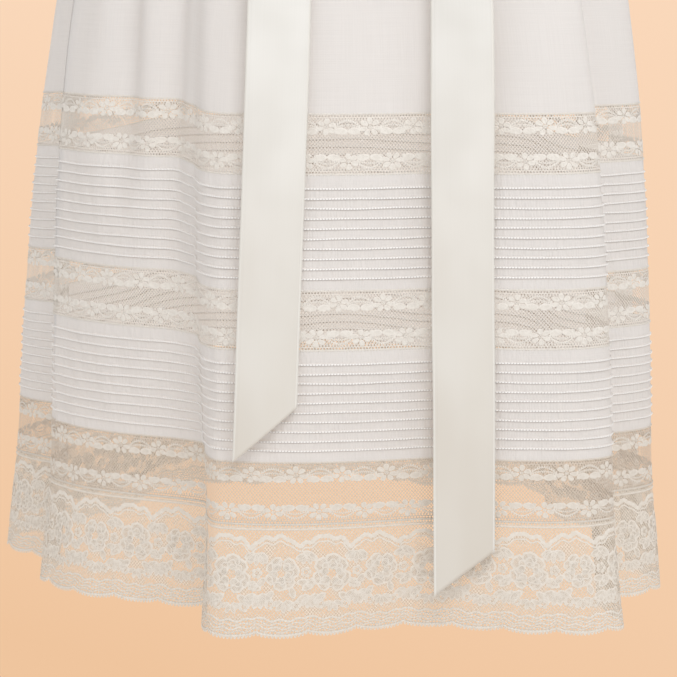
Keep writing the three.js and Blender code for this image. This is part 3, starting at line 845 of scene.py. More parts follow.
class Tone:
    """A value in a material. Sums with it become nodes of the material."""

    def __init__(self, tree, socket=None):
        self.tree = tree
        self.socket = socket

    def node(self, kind, settings=None, inputs=None, output=0):
        made = self.tree.nodes.new(kind)
        for key, value in (settings or {}).items():
            setattr(made, key, value)
        for key, value in (inputs or {}).items():
            if isinstance(value, Tone):
                self.tree.links.new(value.socket, made.inputs[key])
            else:
                made.inputs[key].default_value = value
        return Tone(self.tree, made.outputs[output])

    def flat_map(self, name):
        """A named map of the cloth laid flat."""
        return self.node("ShaderNodeUVMap", {"uv_map": name})

    def math(self, operation, *values):
        return self.node("ShaderNodeMath", {"operation": operation}, dict(enumerate(values)))

    def __add__(self, other):
        return self.math("ADD", self, other)

    __radd__ = __add__

    def __sub__(self, other):
        return self.math("SUBTRACT", self, other)

    def __rsub__(self, other):
        return self.math("SUBTRACT", other, self)

    def __mul__(self, other):
        return self.math("MULTIPLY", self, other)

    __rmul__ = __mul__

    def __truediv__(self, other):
        return self.math("DIVIDE", self, other)

    def __rtruediv__(self, other):
        return self.math("DIVIDE", other, self)

    def __abs__(self):
        return self.math("ABSOLUTE", self)

    def __lt__(self, other):
        return self.math("LESS_THAN", self, other)

    def __gt__(self, other):
        return self.math("GREATER_THAN", self, other)

    def fraction(self):
        return self.math("FRACT", self)

    def least(self, other):
        return self.math("MINIMUM", self, other)

    def most(self, other):
        return self.math("MAXIMUM", self, other)

    def eased(self, low, high):
        """0 below low, 1 above high, smooth between."""
        ends = {0: self, 1: low, 2: high, 3: 0.0, 4: 1.0}
        return self.node("ShaderNodeMapRange", {"interpolation_type": "SMOOTHSTEP"}, ends)

    def parts(self):
        split = self.tree.nodes.new("ShaderNodeSeparateXYZ")
        self.tree.links.new(self.socket, split.inputs[0])
        return [Tone(self.tree, socket) for socket in split.outputs]

    def scaled(self, factors):
        return self.node("ShaderNodeVectorMath", {"operation": "MULTIPLY"}, {0: self, 1: factors})

    def colour(self, low, high):
        """A colour from low to high as the value goes from 0 to 1."""
        return self.node("ShaderNodeMix", {"data_type": "RGBA"}, {0: self, 6: low, 7: high}, 2)

    def noise(self, factors, detail=2.0):
        """Cloudy values from 0 to 1 on a stretched map."""
        inputs = {"Vector": self.scaled(factors), "Scale": 1.0, "Detail": detail}
        return self.node("ShaderNodeTexNoise", None, inputs)

    def bump(self, strength, distance):
        inputs = {"Strength": strength, "Distance": distance, "Height": self}
        return self.node("ShaderNodeBump", None, inputs)


def new_finish(name, **values):
    """A material, a blank value to build on, and its shader with plain values set."""
    material = bpy.data.materials.new(name)
    material.use_nodes = True
    shader = material.node_tree.nodes["Principled BSDF"]
    for key, value in values.items():
        shader.inputs[key.replace("_", " ").title().replace("Ior", "IOR")].default_value = value
    return material, Tone(material.node_tree), shader


def feed(shader, **tones):
    """Links values to the shader's inputs."""
    for key, tone in tones.items():
        tone.tree.links.new(tone.socket, shader.inputs[key.replace("_", " ").title()])


def add_glow_through(material, shader, share, colour):
    """Lets part of the light pass through the cloth."""
    tree = material.node_tree
    thin = Tone(tree).node("ShaderNodeBsdfTranslucent", None, {"Color": colour})
    inputs = {0: share, 1: Tone(tree, shader.outputs[0]), 2: thin}
    mixed = Tone(tree).node("ShaderNodeMixShader", None, inputs)
    tree.links.new(mixed.socket, tree.nodes["Material Output"].inputs["Surface"])


def rgba(colour):
    """A colour that is fully there."""
    return (colour[0], colour[1], colour[2], 1.0)


def cotton_finish(name, colours, pucker):
    """Fine white cotton with thicker threads here and there; tucked, it has puckers and painted shadow in
    the fold under each tuck.
    """
    material, blank, shader = new_finish(name, roughness=0.9, specular_ior_level=0.2)
    cloth = blank.flat_map("cloth")
    warp = cloth.noise((2300.0, 26.0, 1.0))
    weft = cloth.noise((28.0, 2300.0, 1.0))
    slub = (warp + weft) * 0.5
    broad = cloth.noise((22.0, 14.0, 1.0))
    tone = slub.eased(0.36, 0.64) * 0.6 + broad * 0.4
    white = tone.colour(rgba(colours.cotton_shade), rgba(colours.cotton))
    relief = slub * 0.00012
    if pucker:
        relief = relief + cloth.noise((390.0, 85.0, 1.0), 3.0) * pucker
        # The edges map tells where the fold under a tuck lies; there the cotton takes the painted tuck
        # shadow colour.
        deep, _, _ = blank.flat_map("edges").parts()
        white = deep.colour(white, rgba(colours.tuck_painted_shadow))
    feed(shader, base_color=white)
    feed(shader, normal=relief.bump(1.0, 1.0))
    add_glow_through(material, shader, colours.cotton_glow, rgba(colours.glow))
    return material


def net_threads(cloth, mesh, opening):
    """Crossing threads of a net; its diamond openings take up twice the given share."""
    along, down, _ = cloth.parts()
    rising = along / mesh + down / (1.15 * mesh)
    falling = along / mesh - down / (1.15 * mesh)
    lines = [abs(line.fraction() - 0.5) > opening for line in (rising, falling)]
    return along, lines[0].most(lines[1])


def hole_row(along, off, pitch, radius):
    """A row of round holes along a line."""
    aside = (along / pitch).fraction() * pitch - pitch / 2
    return (aside * aside + off * off) < radius**2


def net_finish(name, thread, thread_shade, mesh, opening, edging):
    """Lace net with a close heading and rows of holes; an edging also has close work and a border."""
    material, blank, shader = new_finish(name, roughness=0.85, specular_ior_level=0.2)
    cloth = blank.flat_map("cloth")
    edges = blank.flat_map("edges")
    along, solid = net_threads(cloth, mesh, opening)
    from_top, from_bottom, _ = edges.parts()
    near = from_top if edging else from_top.least(from_bottom)
    if edging:
        into, _, _ = blank.flat_map("fill").parts()
        cloud = cloth.noise((120.0, 140.0, 1.0), 3.0)
        fill = into.eased(0.0, 0.0008) * (0.06 + cloud.eased(0.44, 0.60) * 0.44)
        solid = solid.most(fill)
        rows = [hole_row(along + 0.0010 * row, from_bottom - height, 0.0020, 0.00062)
                for row, height in enumerate((0.0023, 0.0040, 0.0057, 0.0074, 0.0091))]
        pierced = rows[0]
        for row in rows[1:]:
            pierced = pierced.most(row)
        solid = solid.most(from_bottom < 0.0104) * (1.0 - pierced)
    first = hole_row(along, near - 0.0013, 0.0019, 0.00062)
    second = hole_row(along + 0.00095, near - 0.0029, 0.0019, 0.00056)
    solid = solid.most(near < 0.0036) * (1.0 - first.most(second))
    feed(shader, alpha=solid)
    shade = cloth.noise((700.0, 700.0, 1.0), 3.0).eased(0.3, 0.7)
    feed(shader, base_color=shade.colour(rgba(thread_shade), rgba(thread)))
    return material


def needle_finish(name, colour, shade):
    """Close lace work: flat threads laid side by side, slightly open."""
    material, blank, shader = new_finish(name, roughness=0.85, specular_ior_level=0.2)
    cloth = blank.flat_map("cloth")
    along, down, _ = cloth.parts()
    lines = [abs((value / 0.0011).fraction() - 0.5) for value in (along + down, along - down)]
    gap = (lines[0] > 0.17) * (lines[1] > 0.17)
    close, _, _ = blank.flat_map("edges").parts()
    patch = cloth.noise((300.0, 300.0, 1.0), 2.0).eased(0.38, 0.62)
    feed(shader, alpha=1.0 - gap * (1.0 - close.eased(0.25, 0.9)) * (0.3 + patch * 0.7))
    mottle = cloth.noise((620.0, 620.0, 1.0), 3.0).eased(0.3, 0.7)
    tone = mottle * 0.35 + (1.0 - patch) * 0.3 + close.eased(0.6, 1.0) * 0.35
    feed(shader, base_color=tone.colour(rgba(shade), rgba(colour)))
    feed(shader, normal=((lines[0] + lines[1]) * 0.5 + mottle).bump(0.3, 0.0003))
    return material


def thread_finish(colours):
    """White sewing thread with random tone, and painted shade at the needle holes."""
    material, blank, shader = new_finish("sewing thread", roughness=0.6)
    cloth = blank.flat_map("cloth")
    close, _, _ = blank.flat_map("edges").parts()
    # Stitches (close 1) get random tone; the hole patches (close 0) get the thread shade colour as painted
    # shade.
    share = close * (0.8 + cloth.noise((400.0, 400.0, 1.0)) * 0.4)
    feed(shader, base_color=share.colour(rgba(colours.thread_shade), rgba(colours.thread)))
    return material


def ribbon_finish(colours):
    """Satin ribbon with a corded selvage on both edges, painted sheen patches and painted warm shade toward
    its lower end.
    """
    material, blank, shader = new_finish(
        "satin ribbon", roughness=0.42, specular_ior_level=0.35, sheen_weight=0.15, sheen_roughness=0.4
    )
    cloth = blank.flat_map("cloth")
    edges = blank.flat_map("edges")
    first, second, _ = edges.parts()
    near = first.least(second)
    selvage = 1.0 - near.eased(0.0010, 0.0016)
    groove = near.eased(0.0014, 0.0019) * (1.0 - near.eased(0.0022, 0.0032))
    threads = cloth.noise((1500.0, 10.0, 1.0))
    _, _, height = blank.node("ShaderNodeTexCoord", None, None, "Object").parts()
    sheen = cloth.noise((26.0, 9.0, 1.0)).eased(0.35, 0.65)
    # Painted shade: the satin grows darker and warmer toward the floor, with painted sheen patches in it.
    painted_floor_shade = (0.0 - height).eased(0.30, 0.80) * (0.86 + sheen * 0.18)
    # The fine thread streaks are grain; the broad clouds are painted sheen on the satin.
    painted_sheen_clouds = cloth.noise((18.0, 16.0, 1.0)).eased(0.3, 0.7)
    fresh = (threads * 0.35 + painted_sheen_clouds * 0.65).colour(rgba(colours.ribbon_grain_and_sheen_shade), rgba(colours.ribbon))
    plain = painted_floor_shade.colour(fresh, rgba(colours.ribbon_painted_warm_shade))
    feed(shader, base_color=selvage.colour(plain, rgba(colours.selvage)))
    feed(shader, normal=(selvage * 0.6 - groove * 0.6 + threads * 0.012).bump(0.5, 0.0004))
    return material


def button_finish(colours):
    """Pearly button."""
    material, blank, shader = new_finish(
        "pearl button", roughness=0.22, coat_weight=0.4, coat_roughness=0.15
    )
    place = blank.node("ShaderNodeTexCoord", None, None, "Object")
    swirl = place.noise((320.0, 320.0, 620.0), 3.0)
    feed(shader, base_color=swirl.colour(rgba(colours.button_shade), rgba(colours.button)))
    return material


def floor_finish(stage):
    """A plain warm floor that glows evenly, with painted light that makes it lighter far off and to the
    right.
    """
    black = (0.0, 0.0, 0.0, 1.0)
    material, blank, shader = new_finish("backdrop", base_color=black, specular_ior_level=0.0)
    shader.inputs["Emission Strength"].default_value = 1.0
    place = blank.node("ShaderNodeTexCoord", None, None, "Object")
    aside, far, _ = place.parts()
    distance = (far + stage.camera_line).most(stage.near_line)
    fallen = stage.near_line / distance
    share = 1.0 - fallen + fallen * stage.side_tint * aside / distance
    feed(shader, emission_color=share.colour(rgba(stage.floor_near), rgba(stage.floor_far)))
    return material


FINISHES = {}


def finishes(scene):
    """The gown's materials, made once."""
    if not FINISHES:
        colours = scene.gown_colours
        sizes = scene.gown_sizes
        FINISHES["cotton"] = cotton_finish("cotton batiste", colours, 0.0)
        FINISHES["tucked"] = cotton_finish("tucked cotton batiste", colours, sizes.streak)
        laces = (
            ("band", "lace band", sizes.net_opening),
            # The lowest band's colours are cream lace painted darker and warmer as shade, since it hangs low
            # and gets less light.
            ("low", "lowest lace band", sizes.low_net_opening),
            # The hem lace colours are cream lace, partly darkened as painted shade for the lower, less lit
            # hem.
            ("edging", "lace edging", sizes.net_opening),
        )
        for kind, title, opening in laces:
            net = getattr(colours, f"{kind}_net")
            shade = getattr(colours, f"{kind}_net_shade")
            edging = kind == "edging"
            FINISHES[f"{kind}_net"] = net_finish(f"{title} net", net, shade, sizes.net_mesh, opening, edging)
            needle = getattr(colours, f"{kind}_needle")
            fill = getattr(colours, f"{kind}_fill")
            FINISHES[f"{kind}_needle"] = needle_finish(f"{title} needlework", needle, fill)
        FINISHES["thread"] = thread_finish(colours)
        FINISHES["ribbon"] = ribbon_finish(colours)
        FINISHES["button"] = button_finish(colours)
    return FINISHES


# Settings


def colour_setting(name, description, default):
    return FloatVectorProperty(
        name=name, description=description, default=default, subtype="COLOR", size=3, min=0.0, max=1.0
    )


def length_setting(name, description, default):
    return FloatProperty(name=name, description=description, default=default, unit="LENGTH")


def share_setting(name, description, default):
    return FloatProperty(name=name, description=description, default=default, subtype="FACTOR")


def number_setting(name, description, default):
    return FloatProperty(name=name, description=description, default=default)


class GownSizes(bpy.types.PropertyGroup):
    """Small sizes of the sewing."""

    cloth_wall: length_setting("Cloth thickness", "Thickness of a cloth edge", 0.0005)
    ribbon_wall: length_setting("Ribbon thickness", "Thickness of the ribbon", 0.0005)
    pucker: length_setting("Pucker", "Height of the puckers between tucks", 0.00038)
    streak: length_setting("Streak", "Height of the fine streaks between tucks", 0.0011)
    stitch_pitch: length_setting("Stitch pitch", "Distance from stitch to stitch", 0.0019)
    net_mesh: length_setting("Net mesh", "Width of an opening of the lace net", 0.0021)
    net_opening: share_setting("Net opening", "Half the share of the mesh that is open", 0.365)
    low_net_opening: share_setting("Low net opening", "The same for the lowest band", 0.39)
    motif_lift: length_setting("Motif height", "Height of the lace flowers over the net", 0.00014)
    flutter: length_setting("Flutter", "Waver of the lace hem", 0.0012)
    hem_columns: IntProperty(
        name="Hem columns", description="Columns of cloth in half of the lace hem", default=460
    )


class GownColours(bpy.types.PropertyGroup):
    """Colours of the cloths."""

    cotton: colour_setting("Cotton", "White of the cotton", (0.884, 0.877, 0.873))
    cotton_shade: colour_setting("Cotton shade", "Thin places of the cotton", (0.812, 0.804, 0.800))
    # Painted shadow in the fold under each tuck
    tuck_painted_shadow: colour_setting("Tuck shade", "Cotton in the fold under a tuck", (0.67, 0.655, 0.645))
    cotton_glow: share_setting("Cotton glow", "Share of light that passes through", 0.25)
    glow: colour_setting("Glow", "Tint of the light that passes through", (0.92, 0.88, 0.84))
    band_net: colour_setting("Band net", "Cream of the band net", (0.85, 0.80, 0.74))
    band_net_shade: colour_setting("Band net shade", "Darker band net", (0.75, 0.70, 0.64))
    # Lowest band: cream lace painted darker and warmer as shade low on the skirt
    low_net: colour_setting("Low net", "Net of the lowest band", (0.72, 0.635, 0.55))
    low_net_shade: colour_setting("Low net shade", "Darker lowest net", (0.62, 0.535, 0.45))
    band_needle: colour_setting("Band needlework", "Cream of the band flowers", (0.88, 0.84, 0.785))
    band_fill: colour_setting("Band fillings", "Fillings of the band flowers", (0.75, 0.705, 0.645))
    low_needle: colour_setting("Low needlework", "Flowers of the lowest band", (0.835, 0.78, 0.71))
    low_fill: colour_setting("Low fillings", "Fillings of the lowest flowers", (0.71, 0.645, 0.57))
    # Hem lace: cream lace, partly painted darker and warmer as shade for the lower, less lit hem
    edging_net: colour_setting("Edging net", "White of the hem net", (0.80, 0.73, 0.645))
    edging_net_shade: colour_setting("Edging net shade", "Darker hem net", (0.67, 0.595, 0.505))
    edging_fill: colour_setting("Edging fillings", "Fillings of the hem flowers", (0.735, 0.66, 0.572))
    edging_needle: colour_setting("Edging needlework", "White of the hem flowers", (0.85, 0.795, 0.725))
    thread: colour_setting("Thread", "White of the stitches", (0.99, 0.985, 0.975))
    # Thread shade gives the stitches random tone and is painted shade at the needle holes
    thread_shade: colour_setting("Thread shade", "Needle holes between stitches", (0.70, 0.68, 0.67))
    ribbon: colour_setting("Ribbon", "Cream of the satin", (0.880, 0.872, 0.845))
    # Darker satin for the thread grain and for the painted sheen patches
    ribbon_grain_and_sheen_shade: colour_setting("Ribbon shade", "Thread shadows of the satin", (0.765, 0.752, 0.717))
    # Painted warm shade of the satin low down, near the floor
    ribbon_painted_warm_shade: colour_setting("Warm ribbon", "Satin near the floor", (0.695, 0.655, 0.590))
    selvage: colour_setting("Selvage", "Edge of the ribbon", (0.84, 0.82, 0.77))
    button: colour_setting("Button", "Pearl of the buttons", (0.88, 0.86, 0.82))
    button_shade: colour_setting("Button shade", "Darker pearl", (0.74, 0.72, 0.69))


class GownStage(bpy.types.PropertyGroup):
    """Floor and light."""

    # The floor glows in place of being lit: painted light from darker near to lighter far off
    floor_near: colour_setting("Near floor", "Floor colour near the camera", (0.863, 0.558, 0.342))
    floor_far: colour_setting("Far floor", "Floor colour far off", (0.960, 0.695, 0.502))
    camera_line: length_setting("Camera line", "How far the camera stands before the gown", 1.8)
    near_line: length_setting("Near line", "Where the floor begins to grow lighter", 4.2)
    side_tint: number_setting("Side tint", "How much lighter the floor is to the right", 1.4)
    floor_height: length_setting("Floor height", "Height of the floor", -1.6)
    key_strength: number_setting("Key light", "Power of the front light", 13.6)
    back_strength: number_setting("Back light", "Power of the light behind", 15.0)
    glow_strength: number_setting("Floor glow", "Power of the light from the floor", 2.6)
    glow_colour: colour_setting("Glow colour", "Tint of the light from the floor", (1.0, 0.76, 0.56))
    sky_strength: number_setting("Sky light", "Strength of the light all round", 0.78)


# Pieces


def tuck_drops(height):
    """Where the tucks of a panel lie."""
    return np.linspace(TUCK_MARGIN, height - TUCK_MARGIN, TUCK_COUNT)


def tuck_waver(along, seed):
    """How far a tuck strays from its line."""
    return 0.00035 * lattice_noise(along / 0.03, np.full_like(along, seed), 31)


def tuck_lift(along, down, mark, height, pucker):
    """Height of a tucked panel where an even tuck would have the given height."""
    uneven = 1.0 + 0.2 * lattice_noise(along / 0.014, mark, 33)
    soft = lattice_noise(along / 0.0052, down / 0.013, 34)
    soft = soft + lattice_noise(along / 0.011, down / 0.03, 35)
    return height * uneven + pucker * soft


def one_value(values):
    """A flat map that holds a single value."""
    return np.stack([values, np.zeros_like(values)], axis=-1)


class GOWN_OT_skirt_top(bpy.types.Operator):
    """Make the plain upper skirt, gathered at the waist"""

    bl_idname = "gown.skirt_top"
    bl_label = "Upper skirt"

    def execute(self, context):
        finish = finishes(context.scene)["cotton"]
        for half in HALVES:
            strip = Strip("skirt_top", half)
            share = np.linspace(0.0, 1.0, SKIRT_ROWS)
            along, down = strip.grid(SKIRT_COLUMNS, strip.height * blend(share, share**1.6, 0.8))
            lift = 0.0003 * lattice_noise(along / 0.018, down / 0.03, 41)
            sheet = make_sheet(f"cloth_skirt_top_{half}", strip.place(along, down, lift), along, down)
            settle(sheet, finish, "batiste", f"skirt_top_{half}")
            cut = (Strip("lace_band_upper", half).length, strip.height + GATHER_ALLOWANCE)
        return {"FINISHED"}


class GOWN_OT_tuck_panels(bpy.types.Operator):
    """Make the two rounds of tucked cotton with the stitches along every tuck"""

    bl_idname = "gown.tuck_panels"
    bl_label = "Tucked panels"

    def execute(self, context):
        made = finishes(context.scene)
        sizes = context.scene.gown_sizes
        for tier in ("tuck_panel_upper", "tuck_panel_lower"):
            for half in HALVES:
                strip = Strip(tier, half)
                tucks = tuck_drops(strip.height)
                rows = [(0.0, 0.0, 0.0, 0)]
                for index, tuck in enumerate(tucks):
                    rows += [(tuck + offset, lift, deep, index) for offset, lift, deep in TUCK_PROFILE]
                rows.append((strip.height, 0.0, 0.0, TUCK_COUNT - 1))
                downs, lifts, fold_shadows, marks = (np.array(values) for values in zip(*rows))
                along, down = strip.grid(int(strip.length / TUCK_COLUMN), downs)
                inside = ((downs > 0.0) & (downs < strip.height))[:, None]
                mark = marks[:, None] * 1.0
                down = down + tuck_waver(along, mark) * inside
                lift = tuck_lift(along, down, mark, lifts[:, None], sizes.pucker * inside)
                places = strip.place(along, down, lift)
                # The edges map carries the painted shadow in the fold under each tuck.
                maps = {"edges": one_value(np.broadcast_to(fold_shadows[:, None], along.shape))}
                sheet = make_sheet(f"cloth_{tier}_{half}", places, along, down, maps)
                settle(sheet, made["tucked"], "batiste", f"{tier}_{half}")
                stitches = self.stitches(strip, tucks, sizes, f"stitches_{tier}_{half}")
                settle(stitches, made["thread"], "batiste")
        return {"FINISHED"}

    def stitches(self, strip, tucks, sizes, name):
        """Rows of stitches along the tucks, with painted shade for the holes between them."""
        alongs = stitch_spots(strip.length, sizes.stitch_pitch)
        pitch = strip.length / len(alongs)
        stitch = stitch_shape(0.60 * pitch, 0.0009, 0.00025, -10.0)
        shape = joined([stitch, set_at(painted_hole_shade(0.34 * pitch, 0.0007), 0.5 * pitch, 0.0)])
        works = []
        for index, tuck in enumerate(tucks):
            downs = tuck + TUCK_STITCH_DOWN + tuck_waver(alongs, index * 1.0)
            points, faces = repeated(shape, alongs, downs)
            mark = np.full(len(points), index * 1.0)
            points[:, 2] += tuck_lift(points[:, 0], points[:, 1], mark, TUCK_HEIGHT, sizes.pucker)
            works.append((points, faces))
        return strip.needlework(name, works, TUCK_STITCH_CLEARANCE)


class GOWN_OT_lace_bands(bpy.types.Operator):
    """Make the three rounds of lace let into the skirt"""

    bl_idname = "gown.lace_bands"
    bl_label = "Lace bands"

    def execute(self, context):
        made = finishes(context.scene)
        sizes = context.scene.gown_sizes
        for tier in ("lace_band_upper", "lace_band_middle", "lace_band_lower"):
            for half in HALVES:
                strip = Strip(tier, half)
                along, down = strip.grid(BAND_COLUMNS, np.linspace(0.0, strip.height, BAND_ROWS))
                maps = {"edges": np.stack([down, strip.height - down], axis=-1)}
                sheet = make_sheet(f"net_{tier}_{half}", strip.place(along, down), along, down, maps)
                # The lowest band takes the finishes with painted shade.
                kind = "low" if tier == "lace_band_lower" else "band"
                settle(sheet, made[f"{kind}_net"], "lace", f"{tier}_{half}")
                repeats = round(strip.length / BAND_REPEAT)
                unit = strip.length / repeats
                row = band_row(unit, sizes.motif_lift)
                starts = unit * np.arange(repeats)
                upper = repeated(row, starts + 0.25 * unit)
                lower = repeated(mirrored(row, strip.height), starts + 0.5 * unit)
                flowers = strip.needlework(f"flowers_{tier}_{half}", [upper, lower])
                settle(flowers, made[f"{kind}_needle"], "lace")
                seam = self.seam(strip, sizes, f"seam_{tier}_{half}")
                settle(seam, made[f"{kind}_needle"], "lace")
        return {"FINISHED"}

    def seam(self, strip, sizes, name):
        """Two rolled seam edges with slanted stitches over them."""
        alongs = stitch_spots(strip.length, sizes.stitch_pitch)
        stitch = stitch_shape(0.0015, 0.0005, 0.0003, -55.0)
        works = []
        for down in (0.0, strip.height):
            points, faces = repeated(stitch, alongs, down)
            points[:, 2] += SEAM_ROLL_LIFT
            works += [strip.level_cord(down, SEAM_ROLL_WIDTH, SEAM_ROLL_LIFT), (points, faces)]
        return strip.needlework(name, works)


class GOWN_OT_lace_edging(bpy.types.Operator):
    """Make the scalloped lace at the hem"""

    bl_idname = "gown.lace_edging"
    bl_label = "Lace edging"

    def execute(self, context):
        made = finishes(context.scene)
        sizes = context.scene.gown_sizes
        for half in HALVES:
            strip = Strip("lace_edging", half, sizes.flutter)
            repeats = round(strip.length / EDGING_REPEAT)
            unit = strip.length / repeats
            scallop = unit / SCALLOPS_IN_REPEAT
            along, share = strip.grid(sizes.hem_columns, np.linspace(0.0, 1.0, HEM_ROWS))
            lowest = strip.height - scallop_rise(along, scallop)
            down = share * lowest
            into = down - garland_line(along, unit)
            maps = {"edges": np.stack([down, lowest - down], axis=-1), "fill": one_value(into)}
            sheet = make_sheet(f"net_lace_edging_{half}", strip.place(along, down), along, down, maps)
            settle(sheet, made["edging_net"], "lace", f"lace_edging_{half}")
            lift = EDGING_LIFT * sizes.motif_lift
            motifs = repeated(edging_motif(unit, lift), unit * np.arange(repeats))
            scallops = repeats * SCALLOPS_IN_REPEAT
            border = repeated(border_motif(scallop, lift), scallop * np.arange(scallops))
            border[0][:, 1] += strip.height - scallop_rise(border[0][:, 0], scallop)
            heading = strip.level_cord(0.0032, 0.0011, 0.0005)
            flowers = strip.needlework(f"flowers_lace_edging_{half}", [motifs, border, heading])
            settle(flowers, made["edging_needle"], "lace")
        return {"FINISHED"}


def soft_fall(share, softness):
    """A straight fall from 0 to 1 that starts off level."""
    return (np.hypot(share, softness) - softness) / (np.hypot(1.0, softness) - softness)


def shoulder_line(x):
    """Height of the shoulder edge."""
    along = (np.abs(x) - SHOULDER_NECK_X) / (SHOULDER_TIP_X - SHOULDER_NECK_X)
    return -SHOULDER_DROP * soft_fall(np.maximum(along, 0.0), SHOULDER_SOFTNESS)


def torso_depth(x, z):
    """How far the body's outline stands out to the front or back."""
    below = np.clip((shoulder_line(x) - z) / SHOULDER_ROUNDING, 0.0, 1.0)
    rounding = (1.0 - (1.0 - below) ** 2) ** SHOULDER_FULLNESS
    side = np.minimum(np.abs(x) / TORSO_HALF_WIDTH, 1.0)
    return TORSO_HALF_DEPTH * rounding * np.sqrt(1.0 - side**2)


def bodice_height(x, y):
    """The height of the bodice above a place in plan."""
    side = np.sqrt(1.0 - np.minimum(np.abs(x) / TORSO_HALF_WIDTH, 1.0) ** 2)
    rounding = np.clip(np.abs(y) / (TORSO_HALF_DEPTH * side), 0.0, 1.0)
    below = 1.0 - np.sqrt(1.0 - rounding ** (1.0 / SHOULDER_FULLNESS))
    return shoulder_line(x) - SHOULDER_ROUNDING * below


def armhole_edge(share):
    """The armhole from the shoulder tip (0) to the underarm (1)."""
    x = blend(SHOULDER_TIP_X, TORSO_HALF_WIDTH, share**2) - ARMHOLE_SCOOP * np.sin(np.pi * share)
    return x, blend(-SHOULDER_DROP, ARMHOLE_BOTTOM_Z, share)


def bodice_top(share, neck_drop):
    """The neck and shoulder edge from the middle (0) to the shoulder tip (1)."""
    angle = np.pi / 2 * np.minimum(share / NECK_SHARE, 1.0)
    past = np.maximum(share - NECK_SHARE, 0.0) / (1.0 - NECK_SHARE)
    shoulder_x = blend(SHOULDER_NECK_X, SHOULDER_TIP_X, past)
    x = np.where(past > 0.0, shoulder_x, SHOULDER_NECK_X * np.sin(angle))
    z = np.where(past > 0.0, shoulder_line(x), -neck_drop * soft_fall(np.cos(angle), NECK_SOFTNESS))
    return x, z


def bodice_outer(share):
    """The armhole and the side seam from the shoulder tip (0) to the waist (1)."""
    arm_x, arm_z = armhole_edge(np.minimum(share / ARMHOLE_SHARE, 1.0))
    past = np.maximum(share - ARMHOLE_SHARE, 0.0) / (1.0 - ARMHOLE_SHARE)
    x = np.where(past > 0.0, TORSO_HALF_WIDTH, arm_x)
    return x, np.where(past > 0.0, blend(ARMHOLE_BOTTOM_Z, WAIST_Z, past), arm_z)


# Creases of the bodice: sideways and height at both ends, half width, lift
BODICE_CREASES = (
    (-0.078, -0.088, -0.046, -0.122, 0.005, -0.0016),
    (0.078, -0.088, 0.050, -0.126, 0.005, -0.0018),
    (-0.066, -0.060, -0.040, -0.078, 0.004, -0.0012),
    (0.067, -0.058, 0.036, -0.082, 0.004, -0.0011),
    (-0.030, -0.138, -0.026, -0.100, 0.004, 0.0012),
    (-0.010, -0.138, -0.013, -0.106, 0.004, -0.0013),
    (0.012, -0.138, 0.010, -0.098, 0.004, 0.0013),
    (0.034, -0.138, 0.030, -0.104, 0.004, -0.0012),
)


def bodice_place(share, down, side, lift):
    """A point of the front or back, from -1 at the right side seam to 1 at the left."""
    neck_drop = NECK_DROPS[side]
    facing = -1.0 if side == "front" else 1.0
    across = np.abs(share)
    top_x, top_z = bodice_top(across, neck_drop)
    outer_x, outer_z = bodice_outer(down)
    waist_x = TORSO_HALF_WIDTH * np.sin(np.pi / 2 * across)
    corner_x = blend(SHOULDER_TIP_X, TORSO_HALF_WIDTH, down) * across
    x = blend(top_x, waist_x, down) + outer_x * across - corner_x
    middle_z = blend(-neck_drop, WAIST_Z, down)
    corner_z = blend(blend(-neck_drop, -SHOULDER_DROP, across), WAIST_Z, down)
    z = blend(top_z, WAIST_Z, down) + blend(middle_z, outer_z, across) - corner_z
    x = np.sign(share) * x
    y = facing * torso_depth(x, z)
    waisted = 0.0007 * lattice_noise(x / 0.006, z / 0.05, 51) * np.exp((WAIST_Z - z) / 0.02)
    inside = smooth((1.0 - across) / 0.12) * smooth(down / 0.08)
    out = lift + inside * (waisted + crease_lift(x, z, BODICE_CREASES))
    plan = np.stack([x / TORSO_HALF_WIDTH**2, y / TORSO_HALF_DEPTH**2, np.zeros_like(x)], axis=-1)
    plan /= np.linalg.norm(plan, axis=-1, keepdims=True) + 1e-9
    return np.stack([x, y, z], axis=-1) + plan * out[..., None]


def profile_grid(turns, profile):
    """Turns and both values of a section at the crossings of a grid."""
    turn, index = np.meshgrid(turns, np.arange(len(profile)))
    first, second = np.array(profile).T
    return turn, first[index], second[index]


def line_stitches(name, places, outward, pitch):
    """A row of edge stitches along a line of places; outward is the way they stand up."""
    lengths = running_lengths(places)
    at = stitch_spots(lengths[-1], pitch * EDGE_STITCH_SPACING)
    points, faces = repeated(stitch_shape(EDGE_STITCH_LENGTH, 0.0005, 0.0003), at)
    spots, ups, runs = (
        np.column_stack([np.interp(points[:, 0], lengths, column) for column in values.T])
        for values in (places, outward, np.gradient(places, axis=0))
    )
    runs /= np.linalg.norm(runs, axis=1, keepdims=True)
    ups /= np.linalg.norm(ups, axis=1, keepdims=True)
    downs = np.cross(runs, ups)
    made = spots + downs * points[:, 1:2] + ups * (points[:, 2:3] + NEEDLE_CLEARANCE)
    return make_needlework(name, made, faces, points)


